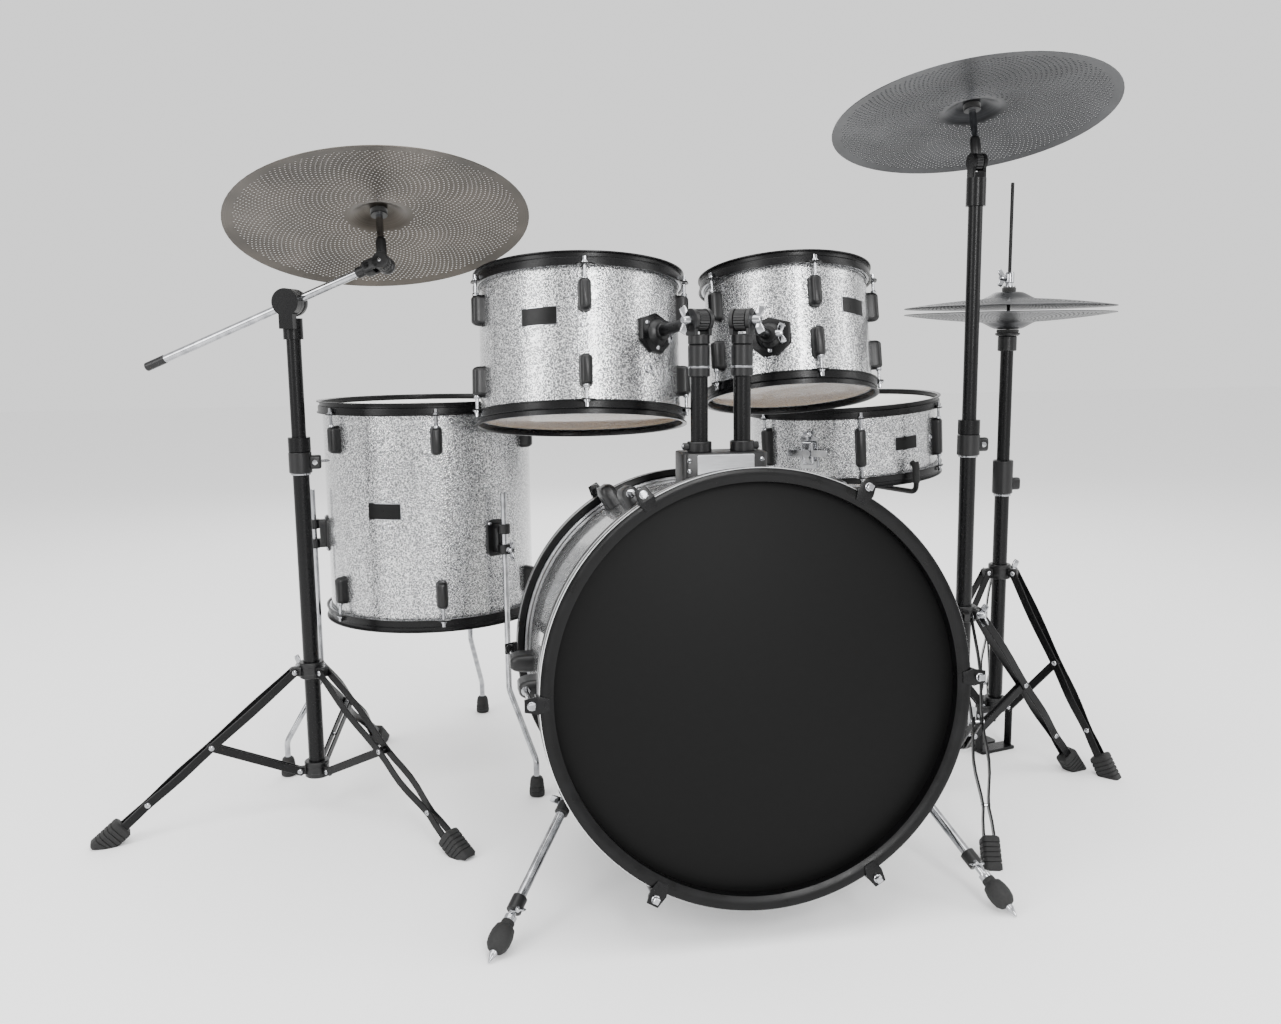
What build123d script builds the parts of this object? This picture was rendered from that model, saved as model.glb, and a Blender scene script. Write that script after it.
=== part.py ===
from build123d import *
from math import atan2, cos, radians, sin, sqrt, tan
import os

os.makedirs("parts", exist_ok=True)

# An acoustic drum kit. +X is the kit's right as the audience sees it, +Y runs along the bass drum
# towards the drummer and +Z is up. Everything is laid out from the floor point below the centre of
# the bass drum's front face. At the end the kit is moved so that its origin is the middle of its
# footprint. Angles around a drum start at the side that faces the audience and grow towards +X.

# ---------------------------------------------------------------- sizes shared by all drums
fit = 0.08            # radial clearance where one piece turns or slides on another
gap = 0.4             # clearance between pieces that only pass each other
film = 1.0            # thickness of a drum head
steel = 1.6           # sheet thickness of a flanged hoop
flesh_hoop = 5.0      # radial size of the ring that holds a head
flesh_drop = 8.0      # how far that ring hangs below the bearing edge
hoop_rise = 10.6      # height of a flanged hoop above the bearing edge
hoop_flare = 9.0      # radial size of the hoop's top flange
rod_offset = 11.0     # distance of a tension rod from the shell
rod_radius = 2.5
lug_width, lug_height, lug_depth = 18.0, 46.0, 17.0
lug_inset = 28.0      # from the bearing edge to the near end of a lug
vent_radius = 5.0

# ---------------------------------------------------------------- bass drum
bass_radius, bass_depth, bass_wall = 260.0, 406.0, 7.0
bass_hoop_wall, bass_hoop_depth = 9.0, 40.0
bass_hoop_room = 8.0            # between the shell and a wooden hoop, where the head folds over
bass_hoop_proud = 18.0          # how far a wooden hoop stands in front of the bearing edge
bass_nose_up = 6.1              # degrees the front is raised by the spurs
bass_place = (-21.0, -69.0)     # the floor point below the centre of its front face
bass_first_lug = 30.0
bass_lugs = 6
bass_rod_radius = 3.0
claw_width, claw_sheet = 22.0, 3.2
bass_lug_length, bass_lug_width = 58.0, 26.0
bass_lug_inset = 92.0           # from the hoop's front face to the near end of a lug

# ---------------------------------------------------------------- toms and snare drum
mid_tom_radius, mid_tom_depth, tom_wall = 152.4, 208.0, 6.0
mid_tom_centre, mid_tom_axis = (-188, 364, 739), (0.022, 0.175, 0.984)
high_tom_radius, high_tom_depth = 127.0, 178.0
high_tom_centre, high_tom_axis = (142, 364, 757), (0.0, 0.225, 0.974)
tom_lugs = 5
mid_tom_first_lug, high_tom_first_lug = -4.0, 2.0
floor_tom_radius, floor_tom_depth, floor_tom_wall = 177.8, 356.0, 6.0
floor_tom_place, floor_tom_top = (-426, 656), 650.0
floor_tom_lugs, floor_tom_first_lug = 6, 5.0
snare_radius, snare_depth = 177.8, 127.0
snare_place, snare_top = (376, 746), 630.0
snare_axis = (-0.06, -0.03, 1.0)
snare_lugs, snare_first_lug = 6, -10.0
strainer_angle = -40.0
# angle and height of each shell's vent
mid_tom_vent, high_tom_vent, floor_tom_vent, snare_vent = (33, -45), (-31, -50), (-24, -14), (45, 0)

# ---------------------------------------------------------------- tom mount on the bass drum
mount_x, mount_y = -19.0, 152.0
post_spacing = 61.0
post_radius, post_wall = 12.1, 2.0
post_bottom = 455.0
knuckle_height = 780.5
knuckle_radius, knuckle_width = 17.0, 30.0
mount_length, mount_width, mount_height = 120.0, 60.0, 42.0
mount_collar = 14.0             # height of the clamp rings on top of the mount
arm_radius = 8.0
bracket_angles = {"left": 38.0, "right": -29.0}     # where the arms' brackets sit on the toms

# ---------------------------------------------------------------- spurs and floor tom legs
spur_angles = {"left": 38.0, "right": 31.0}     # below the horizontal, where the brackets sit
spur_y = 118.0
spur_feet = {"left": (-371.0, -80.0), "right": (318.0, -100.0)}
spur_radius = 6.5
leg_angles = {"front": 37.0, "left": -83.0, "rear": 161.0}
leg_rod_radius, leg_offset, leg_splay = 5.0, 24.0, 65.0
leg_top, leg_bend_top, leg_bend_bottom = 508.0, 172.0, 62.0
leg_bracket_height = 431.0

# ---------------------------------------------------------------- stands
tube_radius, tube_wall = 12.7, 1.5
inner_tube_radius = tube_radius - tube_wall - fit
pivot_room = 15.3               # from a tube's face to the leg and brace pivots around it
pivot_reach = tube_radius + pivot_room
pin_radius = 2.5
bar_height, bar_thickness = 13.0, 2.6
leg_gap = 6.4                   # half the gap between a leg's two bars
brace_gap = 3.3                 # half the gap between a brace's two bars
brace_share = 0.46       # where along its leg a brace is pinned
collar_wall = 7.0
foot_length, foot_width, foot_height = 52.0, 26.0, 24.0

boom_stand = dict(place=(-622, 460), feet=314.0, first=75.0, collar=236.0, lower=70.0, lock=589.0)
crash_stand = dict(place=(424, 304), feet=254.0, first=255.0, collar=310.0, lower=98.0, lock=602.0)
hihat_stand = dict(place=(582, 490), feet=205.0, first=-51.0, collar=336.0, lower=88.0, lock=512.0)
snare_stand = dict(feet=190.0, first=60.0, collar=225.0, lower=70.0, lock=300.0)

# ---------------------------------------------------------------- cymbals
cymbal_sheet = 1.2
bell_radius, bell_rise = 46.0, 12.0
bow_rise = 14.0
seat_radius = 14.0              # the flat round the hole at the top of a bell
cymbal_hole = 6.0
left_cymbal_radius, crash_cymbal_radius, hat_radius = 228.6, 215.9, 177.8
left_cymbal_axis, crash_cymbal_axis = (-0.037, 0.354, 0.935), (-0.012, 0.229, 0.973)
felt_radius, felt_height = 13.0, 8.0
boom_height, boom_azimuth, boom_rise = 819.0, -16.0, 21.6
boom_front, boom_tail = 158.0, 262.0
boom_radius = 6.35
head_half, head_radius = 26.0, 21.0     # the clamp discs on top of the boom stand
tilter_half = 6.0
tilter_reach = 63.0             # from a tilter's pivot to the plane of the cymbal's rim
crash_tilter_height, crash_tilter_reach = 1020.0, 68.0
hat_height, hat_opening = 794.0, 12.0
hat_rod_radius, hat_rod_top = 3.0, 1017.0

# ---------------------------------------------------------------- pedals
pedal_shaft_height = 190.0
beater_arm, beater_radius, beater_length = 130.0, 25.0, 44.0
beater_rest = 40.0              # degrees back from upright
beater_past = 12.0              # degrees past parallel to the head at the end of its swing
footboard_length, footboard_width = 235.0, 84.0
hat_pedal_direction = 105.0     # degrees from +X

# ---------------------------------------------------------------- travels
spur_swing = 90.0               # degrees a spur folds up from the floor
post_travel = 55.0
tom_tilt_back, tom_tilt_down = 12.0, 3.0
floor_leg_travel = 70.0
folded_lean = 10.5              # degrees from upright that the folded tripod's legs keep
hat_travel, hat_pedal_swing = 9.0, 4.0
kick_pedal_swing = 12.0
beater_clearance = 2.0          # between the beater at the end of its swing and the head

kit = {}


def keep(name, *pieces, place=Location()):
    """Adds a finished sub-part to the kit. Several pieces stay separate solids in one node."""
    solids = [solid.moved(place) for piece in pieces for solid in piece.solids()]
    kit[name] = solids[0] if len(solids) == 1 else Compound(solids)


def around(angle, radius, z=0.0):
    """The point at this angle and radius about a drum's axis."""
    return (radius * sin(radians(angle)), -radius * cos(radians(angle)), z)


def wall_plane(angle, radius, z=0.0):
    """A plane that faces outwards from a drum's wall, with its local Y along the drum's axis."""
    outwards = around(angle, 1)
    return Plane(origin=around(angle, radius, z), x_dir=(-outwards[1], outwards[0], 0), z_dir=outwards)


def rod(start, end, radius, bore=0.0):
    """A round bar or tube from one point to another."""
    reach = Vector(*end) - Vector(*start)
    with BuildPart() as bar:
        with BuildSketch(Plane(origin=start, z_dir=reach)):
            Circle(radius)
            if bore:
                Circle(bore, mode=Mode.SUBTRACT)
        extrude(amount=reach.length)
    return bar.part


# ---------------------------------------------------------------- drums
def drum_shell(radius, depth, wall, vent_angle, vent_height):
    with BuildPart() as shell:
        with BuildSketch(Plane.XY.offset(-depth / 2)):
            Circle(radius)
            Circle(radius - wall, mode=Mode.SUBTRACT)
        extrude(amount=depth)
        with BuildSketch(wall_plane(vent_angle, radius - 2 * wall, vent_height)):
            Circle(vent_radius)
        extrude(amount=3 * wall, mode=Mode.SUBTRACT)
    return shell.part


def drum_heads(radius, depth):
    edge = depth / 2
    with BuildPart() as heads:
        with BuildSketch(Plane.XZ):
            with BuildLine():
                Polyline(
                    (0, edge), (0, edge + film), (radius + flesh_hoop, edge + film),
                    (radius + flesh_hoop, edge - flesh_drop), (radius + gap, edge - flesh_drop),
                    (radius + gap, edge), close=True,
                )
            make_face()
        revolve(axis=Axis.Z)
        mirror(about=Plane.XY)
    return heads.part


def flanged_hoops(radius, depth, lug_angles):
    edge = depth / 2
    shelf = edge - flesh_drop - gap - steel
    skirt = radius + flesh_hoop + fit
    lip = radius + flesh_hoop / 2
    with BuildPart() as hoops:
        with BuildSketch(Plane.XZ):
            with BuildLine():
                Polyline(
                    (lip, edge + film), (skirt, edge + film), (skirt, shelf),
                    (radius + hoop_flare, shelf), (radius + hoop_flare, shelf + steel),
                    (skirt + steel, shelf + steel), (skirt + steel, edge + film + steel),
                    (lip + steel, edge + film + steel), (lip + steel, edge + hoop_rise - steel),
                    (radius + hoop_flare, edge + hoop_rise - steel),
                    (radius + hoop_flare, edge + hoop_rise), (lip, edge + hoop_rise), close=True,
                )
            make_face()
        revolve(axis=Axis.Z)
        with BuildSketch(Plane.XY.offset(shelf)) as ears:
            for angle in lug_angles:
                with Locations(around(angle, radius + rod_offset)[:2]):
                    Circle(rod_radius + 3.5)
            Circle(skirt, mode=Mode.SUBTRACT)
        extrude(amount=steel)
        with BuildSketch(Plane.XY.offset(shelf)):
            for angle in lug_angles:
                with Locations(around(angle, radius + rod_offset)[:2]):
                    Circle(rod_radius + gap)
        extrude(amount=steel, mode=Mode.SUBTRACT)
        mirror(about=Plane.XY)
    return hoops.part


def tension_set(radius, depth, lug_angles, double_ended=False):
    """Lugs on the shell, and a square-headed rod from each hoop ear into its lug."""
    edge = depth / 2
    seat = edge - flesh_drop - gap
    near_end = edge - lug_inset
    length = 2 * near_end if double_ended else lug_height
    pieces = []
    for angle in lug_angles:
        for side in (1,) if double_ended else (1, -1):
            centre = 0 if double_ended else side * (near_end - length / 2)
            with BuildPart() as lug:
                with BuildSketch(wall_plane(angle, radius - 0.5, centre)):
                    RectangleRounded(lug_width, length, lug_width / 3)
                extrude(amount=lug_depth + 0.5)
                with BuildSketch():
                    Circle(radius)
                extrude(amount=edge, both=True, mode=Mode.SUBTRACT)
            pieces.append(lug.part)
        for side in (1, -1):
            start = around(angle, radius + rod_offset, side * near_end)
            middle = around(angle, radius + rod_offset, side * seat)
            end = around(angle, radius + rod_offset, side * (seat + 9))
            with BuildPart() as bolt:
                add(rod(start, middle, rod_radius))
                add(rod(middle, end, rod_radius + 1.4))
            pieces.append(bolt.part)
    return pieces


def lug_angles(count, first):
    return [first + 360 * i / count for i in range(count)]


def flanged_drum(name, radius, depth, wall, count, first, vent, plane, double_ended=False):
    angles = lug_angles(count, first)
    place = plane.location
    keep(f"{name}_shell", drum_shell(radius, depth, wall, *vent), place=place)
    keep(f"{name}_heads", drum_heads(radius, depth), place=place)
    keep(f"{name}_hoops", flanged_hoops(radius, depth, angles), place=place)
    keep(f"{name}_tension", *tension_set(radius, depth, angles, double_ended), place=place)


def drum_plane(centre, axis):
    """A drum's own frame: local Z up its axis, local -Y towards the audience."""
    up = Vector(*axis).normalized()
    return Plane(origin=centre, x_dir=Vector(0, 1, 0).cross(up), z_dir=up)


mid_tom_plane = drum_plane(mid_tom_centre, mid_tom_axis)
high_tom_plane = drum_plane(high_tom_centre, high_tom_axis)
floor_tom_plane = drum_plane((*floor_tom_place, floor_tom_top - floor_tom_depth / 2), (0, 0, 1))
snare_plane = drum_plane((*snare_place, snare_top - snare_depth / 2), snare_axis)

flanged_drum("mid_tom", mid_tom_radius, mid_tom_depth, tom_wall, tom_lugs, mid_tom_first_lug,
             mid_tom_vent, mid_tom_plane)
flanged_drum("high_tom", high_tom_radius, high_tom_depth, tom_wall, tom_lugs, high_tom_first_lug,
             high_tom_vent, high_tom_plane)
flanged_drum("floor_tom", floor_tom_radius, floor_tom_depth, floor_tom_wall, floor_tom_lugs,
             floor_tom_first_lug, floor_tom_vent, floor_tom_plane)
flanged_drum("snare", snare_radius, snare_depth, tom_wall, snare_lugs, snare_first_lug,
             snare_vent, snare_plane, double_ended=True)


# ---------------------------------------------------------------- bass drum
bass_length = bass_depth + 2 * bass_hoop_proud
bass_tilt = radians(bass_nose_up)
bass_hoop_radius = bass_radius + bass_hoop_room + bass_hoop_wall
bass_height = bass_hoop_radius * cos(bass_tilt) + bass_length / 2 * sin(bass_tilt)
bass_centre = Vector(bass_place[0], bass_place[1] + bass_length / 2 * cos(bass_tilt), bass_height)
bass_back = Vector(0, cos(bass_tilt), -sin(bass_tilt))
# Local Z points to the audience and local -Y points down, so angle 0 is the lowest point.
bass_plane = Plane(origin=bass_centre, x_dir=(1, 0, 0), z_dir=-bass_back)
bass_rod_ring = bass_hoop_radius + claw_sheet + gap + bass_rod_radius + 2.5
bass_lug_angles = lug_angles(bass_lugs, bass_first_lug)

with BuildPart() as bass_shell:
    with BuildSketch(Plane.XY.offset(-bass_depth / 2)):
        Circle(bass_radius)
        Circle(bass_radius - bass_wall, mode=Mode.SUBTRACT)
    extrude(amount=bass_depth)
    for side in (-1, 1):
        with BuildSketch(Plane(origin=bass_plane.to_local_coords(Vector(mount_x + side * post_spacing / 2,
                               mount_y, bass_height)),
                               z_dir=bass_plane.to_local_coords(Vector(0, 0, 1) + bass_centre))):
            Circle(post_radius + 4 * gap)
        extrude(amount=bass_radius * 1.2, mode=Mode.SUBTRACT)
keep("bass_drum_shell", bass_shell.part, place=bass_plane.location)
keep("bass_drum_heads", drum_heads(bass_radius, bass_depth), place=bass_plane.location)

edge = bass_depth / 2
hoop_inner = bass_hoop_radius - bass_hoop_wall
with BuildPart() as bass_hoops:
    with BuildSketch(Plane.XZ):
        with BuildLine():
            Polyline(
                (hoop_inner, edge + bass_hoop_proud - bass_hoop_depth),
                (bass_hoop_radius, edge + bass_hoop_proud - bass_hoop_depth),
                (bass_hoop_radius, edge + bass_hoop_proud), (bass_radius - 1, edge + bass_hoop_proud),
                (bass_radius - 1, edge + film), (hoop_inner, edge + film), close=True,
            )
        make_face()
    revolve(axis=Axis.Z)
    mirror(about=Plane.XY)
keep("bass_drum_hoops", bass_hoops.part, place=bass_plane.location)

front = bass_length / 2
bass_tension = []
for angle in bass_lug_angles:
    for side in (1, -1):
        with BuildPart() as claw:
            with BuildSketch(wall_plane(angle, hoop_inner - 2, side * (front + claw_sheet / 2))):
                Rectangle(claw_width, claw_sheet)
            extrude(amount=bass_rod_ring + 8 - hoop_inner + 2)
            with BuildSketch(wall_plane(angle, bass_hoop_radius + gap, side * (front - 8))):
                Rectangle(claw_width, 16 + 0.1)
            extrude(amount=claw_sheet)
            with BuildSketch(Plane.XY.offset(side * front)):
                with Locations(around(angle, bass_rod_ring)[:2]):
                    Circle(bass_rod_radius + gap)
            extrude(amount=side * claw_sheet, mode=Mode.SUBTRACT)
        bass_tension.append(claw.part)
        near_end = front - bass_lug_inset
        with BuildPart() as tee_rod:
            add(rod(around(angle, bass_rod_ring, side * near_end),
                    around(angle, bass_rod_ring, side * (front + claw_sheet)), bass_rod_radius))
            add(rod(around(angle, bass_rod_ring, side * (front + claw_sheet)),
                    around(angle, bass_rod_ring, side * (front + claw_sheet + 8)), bass_rod_radius + 3))
        bass_tension.append(tee_rod.part)
        with BuildPart() as bass_lug:
            with BuildSketch(wall_plane(angle, bass_radius - 1, side * (near_end - bass_lug_length / 2))):
                RectangleRounded(bass_lug_width, bass_lug_length, bass_lug_width / 3)
            extrude(amount=bass_rod_ring - bass_radius + 8)
            with BuildSketch():
                Circle(bass_radius)
            extrude(amount=front, both=True, mode=Mode.SUBTRACT)
        bass_tension.append(bass_lug.part)
keep("bass_drum_tension", *bass_tension, place=bass_plane.location)


# ---------------------------------------------------------------- tom mount, posts and arms
mount_floor = bass_height + bass_radius * 0.9
mount_top = bass_height + bass_radius - (mount_y - bass_centre.Y) * tan(bass_tilt) + mount_height
post_x = post_spacing / 2
with BuildPart() as tom_mount:
    with BuildSketch(Plane.XY.offset(mount_floor)):
        with Locations((mount_x, mount_y)):
            RectangleRounded(mount_length, mount_width, 8)
    extrude(amount=mount_top - mount_floor)
    with BuildSketch(Plane.XY.offset(mount_top)):
        with Locations((mount_x - post_x, mount_y), (mount_x + post_x, mount_y)):
            Circle(post_radius + 5)
    extrude(amount=mount_collar)
    with BuildSketch(Plane(origin=bass_centre, x_dir=(1, 0, 0), z_dir=-bass_back)):
        Circle(bass_radius)
    extrude(amount=front, both=True, mode=Mode.SUBTRACT)
    with BuildSketch(Plane.XY.offset(mount_floor)):
        with Locations((mount_x - post_x, mount_y), (mount_x + post_x, mount_y)):
            Circle(post_radius + fit)
    extrude(amount=mount_top - mount_floor + mount_collar, mode=Mode.SUBTRACT)

spur_pivots, spur_normals, spur_brackets = {}, {}, []
for name, side in (("left", -1), ("right", 1)):
    spur_angle = radians(spur_angles[name])
    out = Vector(side * cos(spur_angle), 0, -sin(spur_angle))
    wall_centre = Vector(bass_place[0], spur_y, bass_centre.Z - (spur_y - bass_centre.Y) * tan(bass_tilt))
    plane = Plane(origin=wall_centre + out * (bass_radius - 6), x_dir=(0, 1, 0), z_dir=out)
    with BuildPart() as bracket:
        with BuildSketch(plane):
            RectangleRounded(52, 44, 8)
        extrude(amount=20)
        with BuildSketch(Plane(origin=bass_centre, x_dir=(1, 0, 0), z_dir=-bass_back)):
            Circle(bass_radius)
        extrude(amount=front, both=True, mode=Mode.SUBTRACT)
        with BuildSketch(plane.offset(20)):
            Circle(4)
        extrude(amount=18)
    spur_brackets.append(bracket.part)
    spur_normals[name] = out
    spur_pivots[name] = wall_centre + out * (bass_radius + 14 + gap)
keep("bass_drum_fittings", tom_mount.part, *spur_brackets)

for name, side in (("left", -1), ("right", 1)):
    pivot, out = spur_pivots[name], spur_normals[name]
    hub_plane = Plane(origin=pivot, x_dir=(0, 1, 0), z_dir=out)
    tip = Vector(*spur_feet[name], 0)
    start = pivot + out * 10
    along = (tip - start).normalized()
    length = (tip - start).length
    with BuildPart() as spur:
        add(rod(start, start + along * (length - 20), spur_radius))
        with BuildSketch(hub_plane):
            Circle(17)
        extrude(amount=16)
        with BuildSketch(hub_plane):
            Circle(4 + fit)
        extrude(amount=26, mode=Mode.SUBTRACT)
        add(rod(start + along * (length * 0.62), start + along * (length * 0.62 + 22), spur_radius + 3.5))
        add(rod(start + along * (length - 66), start + along * (length - 26), 15))
        with BuildSketch(Plane(origin=start + along * (length - 26), z_dir=along)):
            Circle(7)
        extrude(amount=22, taper=15)
        split(bisect_by=Plane.XY, keep=Keep.TOP)
    keep(f"spur_{name}", spur.part)

tom_planes = {"left": mid_tom_plane, "right": high_tom_plane}
tom_radii = {"left": mid_tom_radius, "right": high_tom_radius}
knuckles, tom_tilt_lines = {}, {}
for name, side in (("left", -1), ("right", 1)):
    x = mount_x + side * post_x
    knuckle = Vector(x, mount_y, knuckle_height)
    tom_plane = tom_planes[name]
    towards = bracket_angles[name]
    pad_z = tom_plane.to_local_coords(knuckle).Z
    pad_centre = tom_plane.from_local_coords(Vector(*around(towards, tom_radii[name], pad_z)))
    arm_line = (pad_centre - knuckle).normalized()
    hinge_line = Vector(arm_line.Y, -arm_line.X, 0).normalized()
    knuckles[name] = (knuckle, hinge_line)
    # The tom tips towards the drummer with a positive turn about this line.
    tom_tilt_lines[name] = hinge_line if hinge_line.X < 0 else -hinge_line
    with BuildPart() as post:
        with BuildSketch(Plane.XY.offset(post_bottom)):
            with Locations((x, mount_y)):
                Circle(post_radius)
                Circle(post_radius - post_wall, mode=Mode.SUBTRACT)
        extrude(amount=knuckle_height - knuckle_radius - 16 - post_bottom)
        with BuildSketch(Plane.XY.offset(knuckle_height - knuckle_radius - 60)):
            with Locations((x, mount_y)):
                Circle(post_radius + 3)
                Circle(post_radius - post_wall, mode=Mode.SUBTRACT)
        extrude(amount=44)
        with BuildSketch(Plane.XY.offset(knuckle_height - knuckle_radius - 16)):
            with Locations((x, mount_y)):
                Circle(post_radius + 3)
        extrude(amount=14)
        for end in (-1, 1):
            ear = Plane(origin=knuckle + hinge_line * (end * knuckle_width / 2), z_dir=hinge_line * -end)
            with BuildSketch(ear):
                Circle(knuckle_radius - 1)
            extrude(amount=6)
            down = Plane(origin=knuckle + hinge_line * (end * (knuckle_width / 2 - 3))
                         - Vector(0, 0, knuckle_radius + 4), x_dir=hinge_line, z_dir=(0, 0, 1))
            with BuildSketch(down):
                Rectangle(6, 22)
            extrude(amount=knuckle_radius + 4)
        with BuildSketch(Plane(origin=knuckle - hinge_line * (knuckle_width / 2), z_dir=hinge_line)):
            Circle(4)
        extrude(amount=knuckle_width)
    keep(f"tom_post_{name}", post.part)

    hub_half = knuckle_width / 2 - 6 - gap
    with BuildPart() as arm:
        with BuildSketch(Plane(origin=knuckle - hinge_line * hub_half, z_dir=hinge_line)):
            Circle(knuckle_radius - 2)
        extrude(amount=2 * hub_half)
        add(rod(knuckle + arm_line * 6, pad_centre - arm_line * 4, arm_radius))
        with BuildSketch(Plane(origin=knuckle - hinge_line * hub_half, z_dir=hinge_line)):
            Circle(4 + fit)
        extrude(amount=2 * hub_half, mode=Mode.SUBTRACT)
    local_pad = wall_plane(towards, tom_radii[name] - 6, pad_z)
    with BuildPart() as pad:
        with BuildSketch(local_pad):
            RectangleRounded(62, 58, 12)
        extrude(amount=12)
        with BuildSketch(local_pad):
            Circle(arm_radius + 6)
        extrude(amount=20)
        with BuildSketch():
            Circle(tom_radii[name])
        extrude(amount=mid_tom_depth, both=True, mode=Mode.SUBTRACT)
    pad_part = pad.part.moved(tom_plane.location)
    with BuildPart() as tom_arm:
        add(arm.part)
        add(pad_part)
        with BuildSketch(tom_plane):
            Circle(tom_radii[name])
        extrude(amount=mid_tom_depth, both=True, mode=Mode.SUBTRACT)
    keep("mid_tom_arm" if name == "left" else "high_tom_arm", tom_arm.part)


# ---------------------------------------------------------------- floor tom legs
brackets = []
for name, angle in leg_angles.items():
    rod_ring = floor_tom_radius + leg_offset
    bracket_z = leg_bracket_height - floor_tom_plane.origin.Z
    with BuildPart() as leg_bracket:
        with BuildSketch(wall_plane(angle, floor_tom_radius - 4, bracket_z)):
            RectangleRounded(38, 62, 12)
        extrude(amount=leg_offset + 14)
        with BuildSketch():
            Circle(floor_tom_radius)
        extrude(amount=floor_tom_depth, both=True, mode=Mode.SUBTRACT)
        with BuildSketch(Plane.XY.offset(bracket_z - 40)):
            with Locations(around(angle, rod_ring)[:2]):
                Circle(leg_rod_radius + fit)
        extrude(amount=80, mode=Mode.SUBTRACT)
    brackets.append(leg_bracket.part.moved(floor_tom_plane.location))

    centre = Vector(*floor_tom_place, 0)
    path = [centre + Vector(*around(angle, rod_ring, leg_top)),
            centre + Vector(*around(angle, rod_ring, leg_bend_top)),
            centre + Vector(*around(angle, rod_ring + leg_splay, leg_bend_bottom)),
            centre + Vector(*around(angle, rod_ring + leg_splay, 8))]
    with BuildPart() as leg:
        with BuildLine():
            route = FilletPolyline(*path, radius=28)
        with BuildSketch(Plane(origin=route @ 0, z_dir=route % 0)):
            Circle(leg_rod_radius)
        sweep()
    with BuildPart() as leg_foot:
        with BuildSketch(Plane(origin=path[3] - Vector(0, 0, 8))):
            Circle(13)
        extrude(amount=34, taper=8)
        with BuildSketch(Plane(origin=path[3])):
            Circle(leg_rod_radius)
        extrude(amount=60, mode=Mode.SUBTRACT)
    keep(f"floor_tom_leg_{name}", leg.part, leg_foot.part)
keep("floor_tom_leg_brackets", *brackets)


# ---------------------------------------------------------------- snare wires, strainer and lever
snare_edge = snare_depth / 2
with BuildPart() as wires:
    for offset in range(-9, 10, 3):
        with BuildSketch(wall_plane(strainer_angle, -snare_radius * 0.72, -snare_edge - film - 1.6)):
            with Locations((offset, 0)):
                Circle(0.8)
        extrude(amount=snare_radius * 1.44)
    for end in (-1, 1):
        with BuildSketch(wall_plane(strainer_angle, end * snare_radius * 0.72, -snare_edge - film - 1.8)):
            Rectangle(26, 2.4)
        extrude(amount=end * 14)
keep("snare_wires", wires.part, place=snare_plane.location)

strainer = []
for angle, width in ((strainer_angle, 34), (strainer_angle + 180, 40)):
    with BuildPart() as plate:
        with BuildSketch(wall_plane(angle, snare_radius - 3, -6)):
            RectangleRounded(width, 40, 5)
        extrude(amount=13)
        with BuildSketch():
            Circle(snare_radius)
        extrude(amount=snare_edge, both=True, mode=Mode.SUBTRACT)
    strainer.append(plate.part)
keep("snare_strainer", *strainer, place=snare_plane.location)
lever_plane = wall_plane(strainer_angle, snare_radius + 10 + gap, -6)
with BuildPart() as lever:
    with BuildSketch(lever_plane):
        RectangleRounded(78, 12, 5)
    extrude(amount=5)
    with BuildSketch(lever_plane):
        Circle(8)
    extrude(amount=9)
keep("snare_lever", lever.part, place=snare_plane.location)
lever_pivot = snare_plane.from_local_coords(lever_plane.origin)
lever_line = snare_plane.from_local_coords(lever_plane.z_dir) - snare_plane.origin


# ---------------------------------------------------------------- tripods
def leg_planes(stand):
    """For each leg: its direction, its pivot and its brace's pivot."""
    spots = []
    for i in range(3):
        turn = radians(stand["first"] + 120 * i)
        out = Vector(cos(turn), sin(turn), 0)
        base = Vector(*stand["place"], 0) + out * pivot_reach
        spots.append((out, base + Vector(0, 0, stand["collar"]), base + Vector(0, 0, stand["lower"])))
    return spots


def leg_line(stand, out, pivot):
    """The unit vector down a leg and the leg's length to the middle of its rubber foot."""
    foot = Vector(*stand["place"], foot_height * 0.4) + out * stand["feet"]
    return (foot - pivot).normalized(), (foot - pivot).length


def flat_bars(start, end, side_line, half_gap, overhang=bar_height / 2, bore=0.0):
    """Two flat bars side by side from one pivot to another."""
    along = (end - start).normalized()
    length = (end - start).length
    bars = []
    for side in (-1, 1):
        near = start + side_line * (side * half_gap)
        plane = Plane(origin=near, x_dir=along, z_dir=side_line * side)
        with BuildPart() as bar:
            with BuildSketch(plane):
                with Locations((length / 2, 0)):
                    RectangleRounded(length + 2 * overhang, bar_height, bar_height / 2 - 0.1)
                if bore:
                    with Locations((0, 0)):
                        Circle(bore, mode=Mode.SUBTRACT)
            extrude(amount=bar_thickness)
        bars.append(bar.part)
    return bars


def rubber_foot(start, end, side_line):
    """The block on the end of a leg, flat where it stands on the floor."""
    along = (end - start).normalized()
    normal = along.cross(side_line)
    with BuildPart() as foot:
        with BuildSketch(Plane(origin=end - along * (foot_length * 0.55), x_dir=side_line, z_dir=along)):
            RectangleRounded(foot_width, foot_height + 8, 6)
        extrude(amount=foot_length)
        split(bisect_by=Plane.XY, keep=Keep.TOP)
    return foot.part


def tripod_leg(stand, out, pivot):
    """Two bars, the spacer that ties them and the rubber foot."""
    side_line = Vector(-out.Y, out.X, 0)
    down, length = leg_line(stand, out, pivot)
    end = pivot + down * length
    bars = flat_bars(pivot, end, side_line, leg_gap, bore=pin_radius + fit)
    foot = rubber_foot(pivot, end, side_line)
    with BuildPart() as spacer:
        near = pivot + down * (length * 0.8) - side_line * (leg_gap + bar_thickness / 2)
        add(rod(near, near + side_line * (2 * leg_gap + bar_thickness), 4))
        for bar in bars:
            add(bar)
        add(foot)
    return spacer.part


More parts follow.
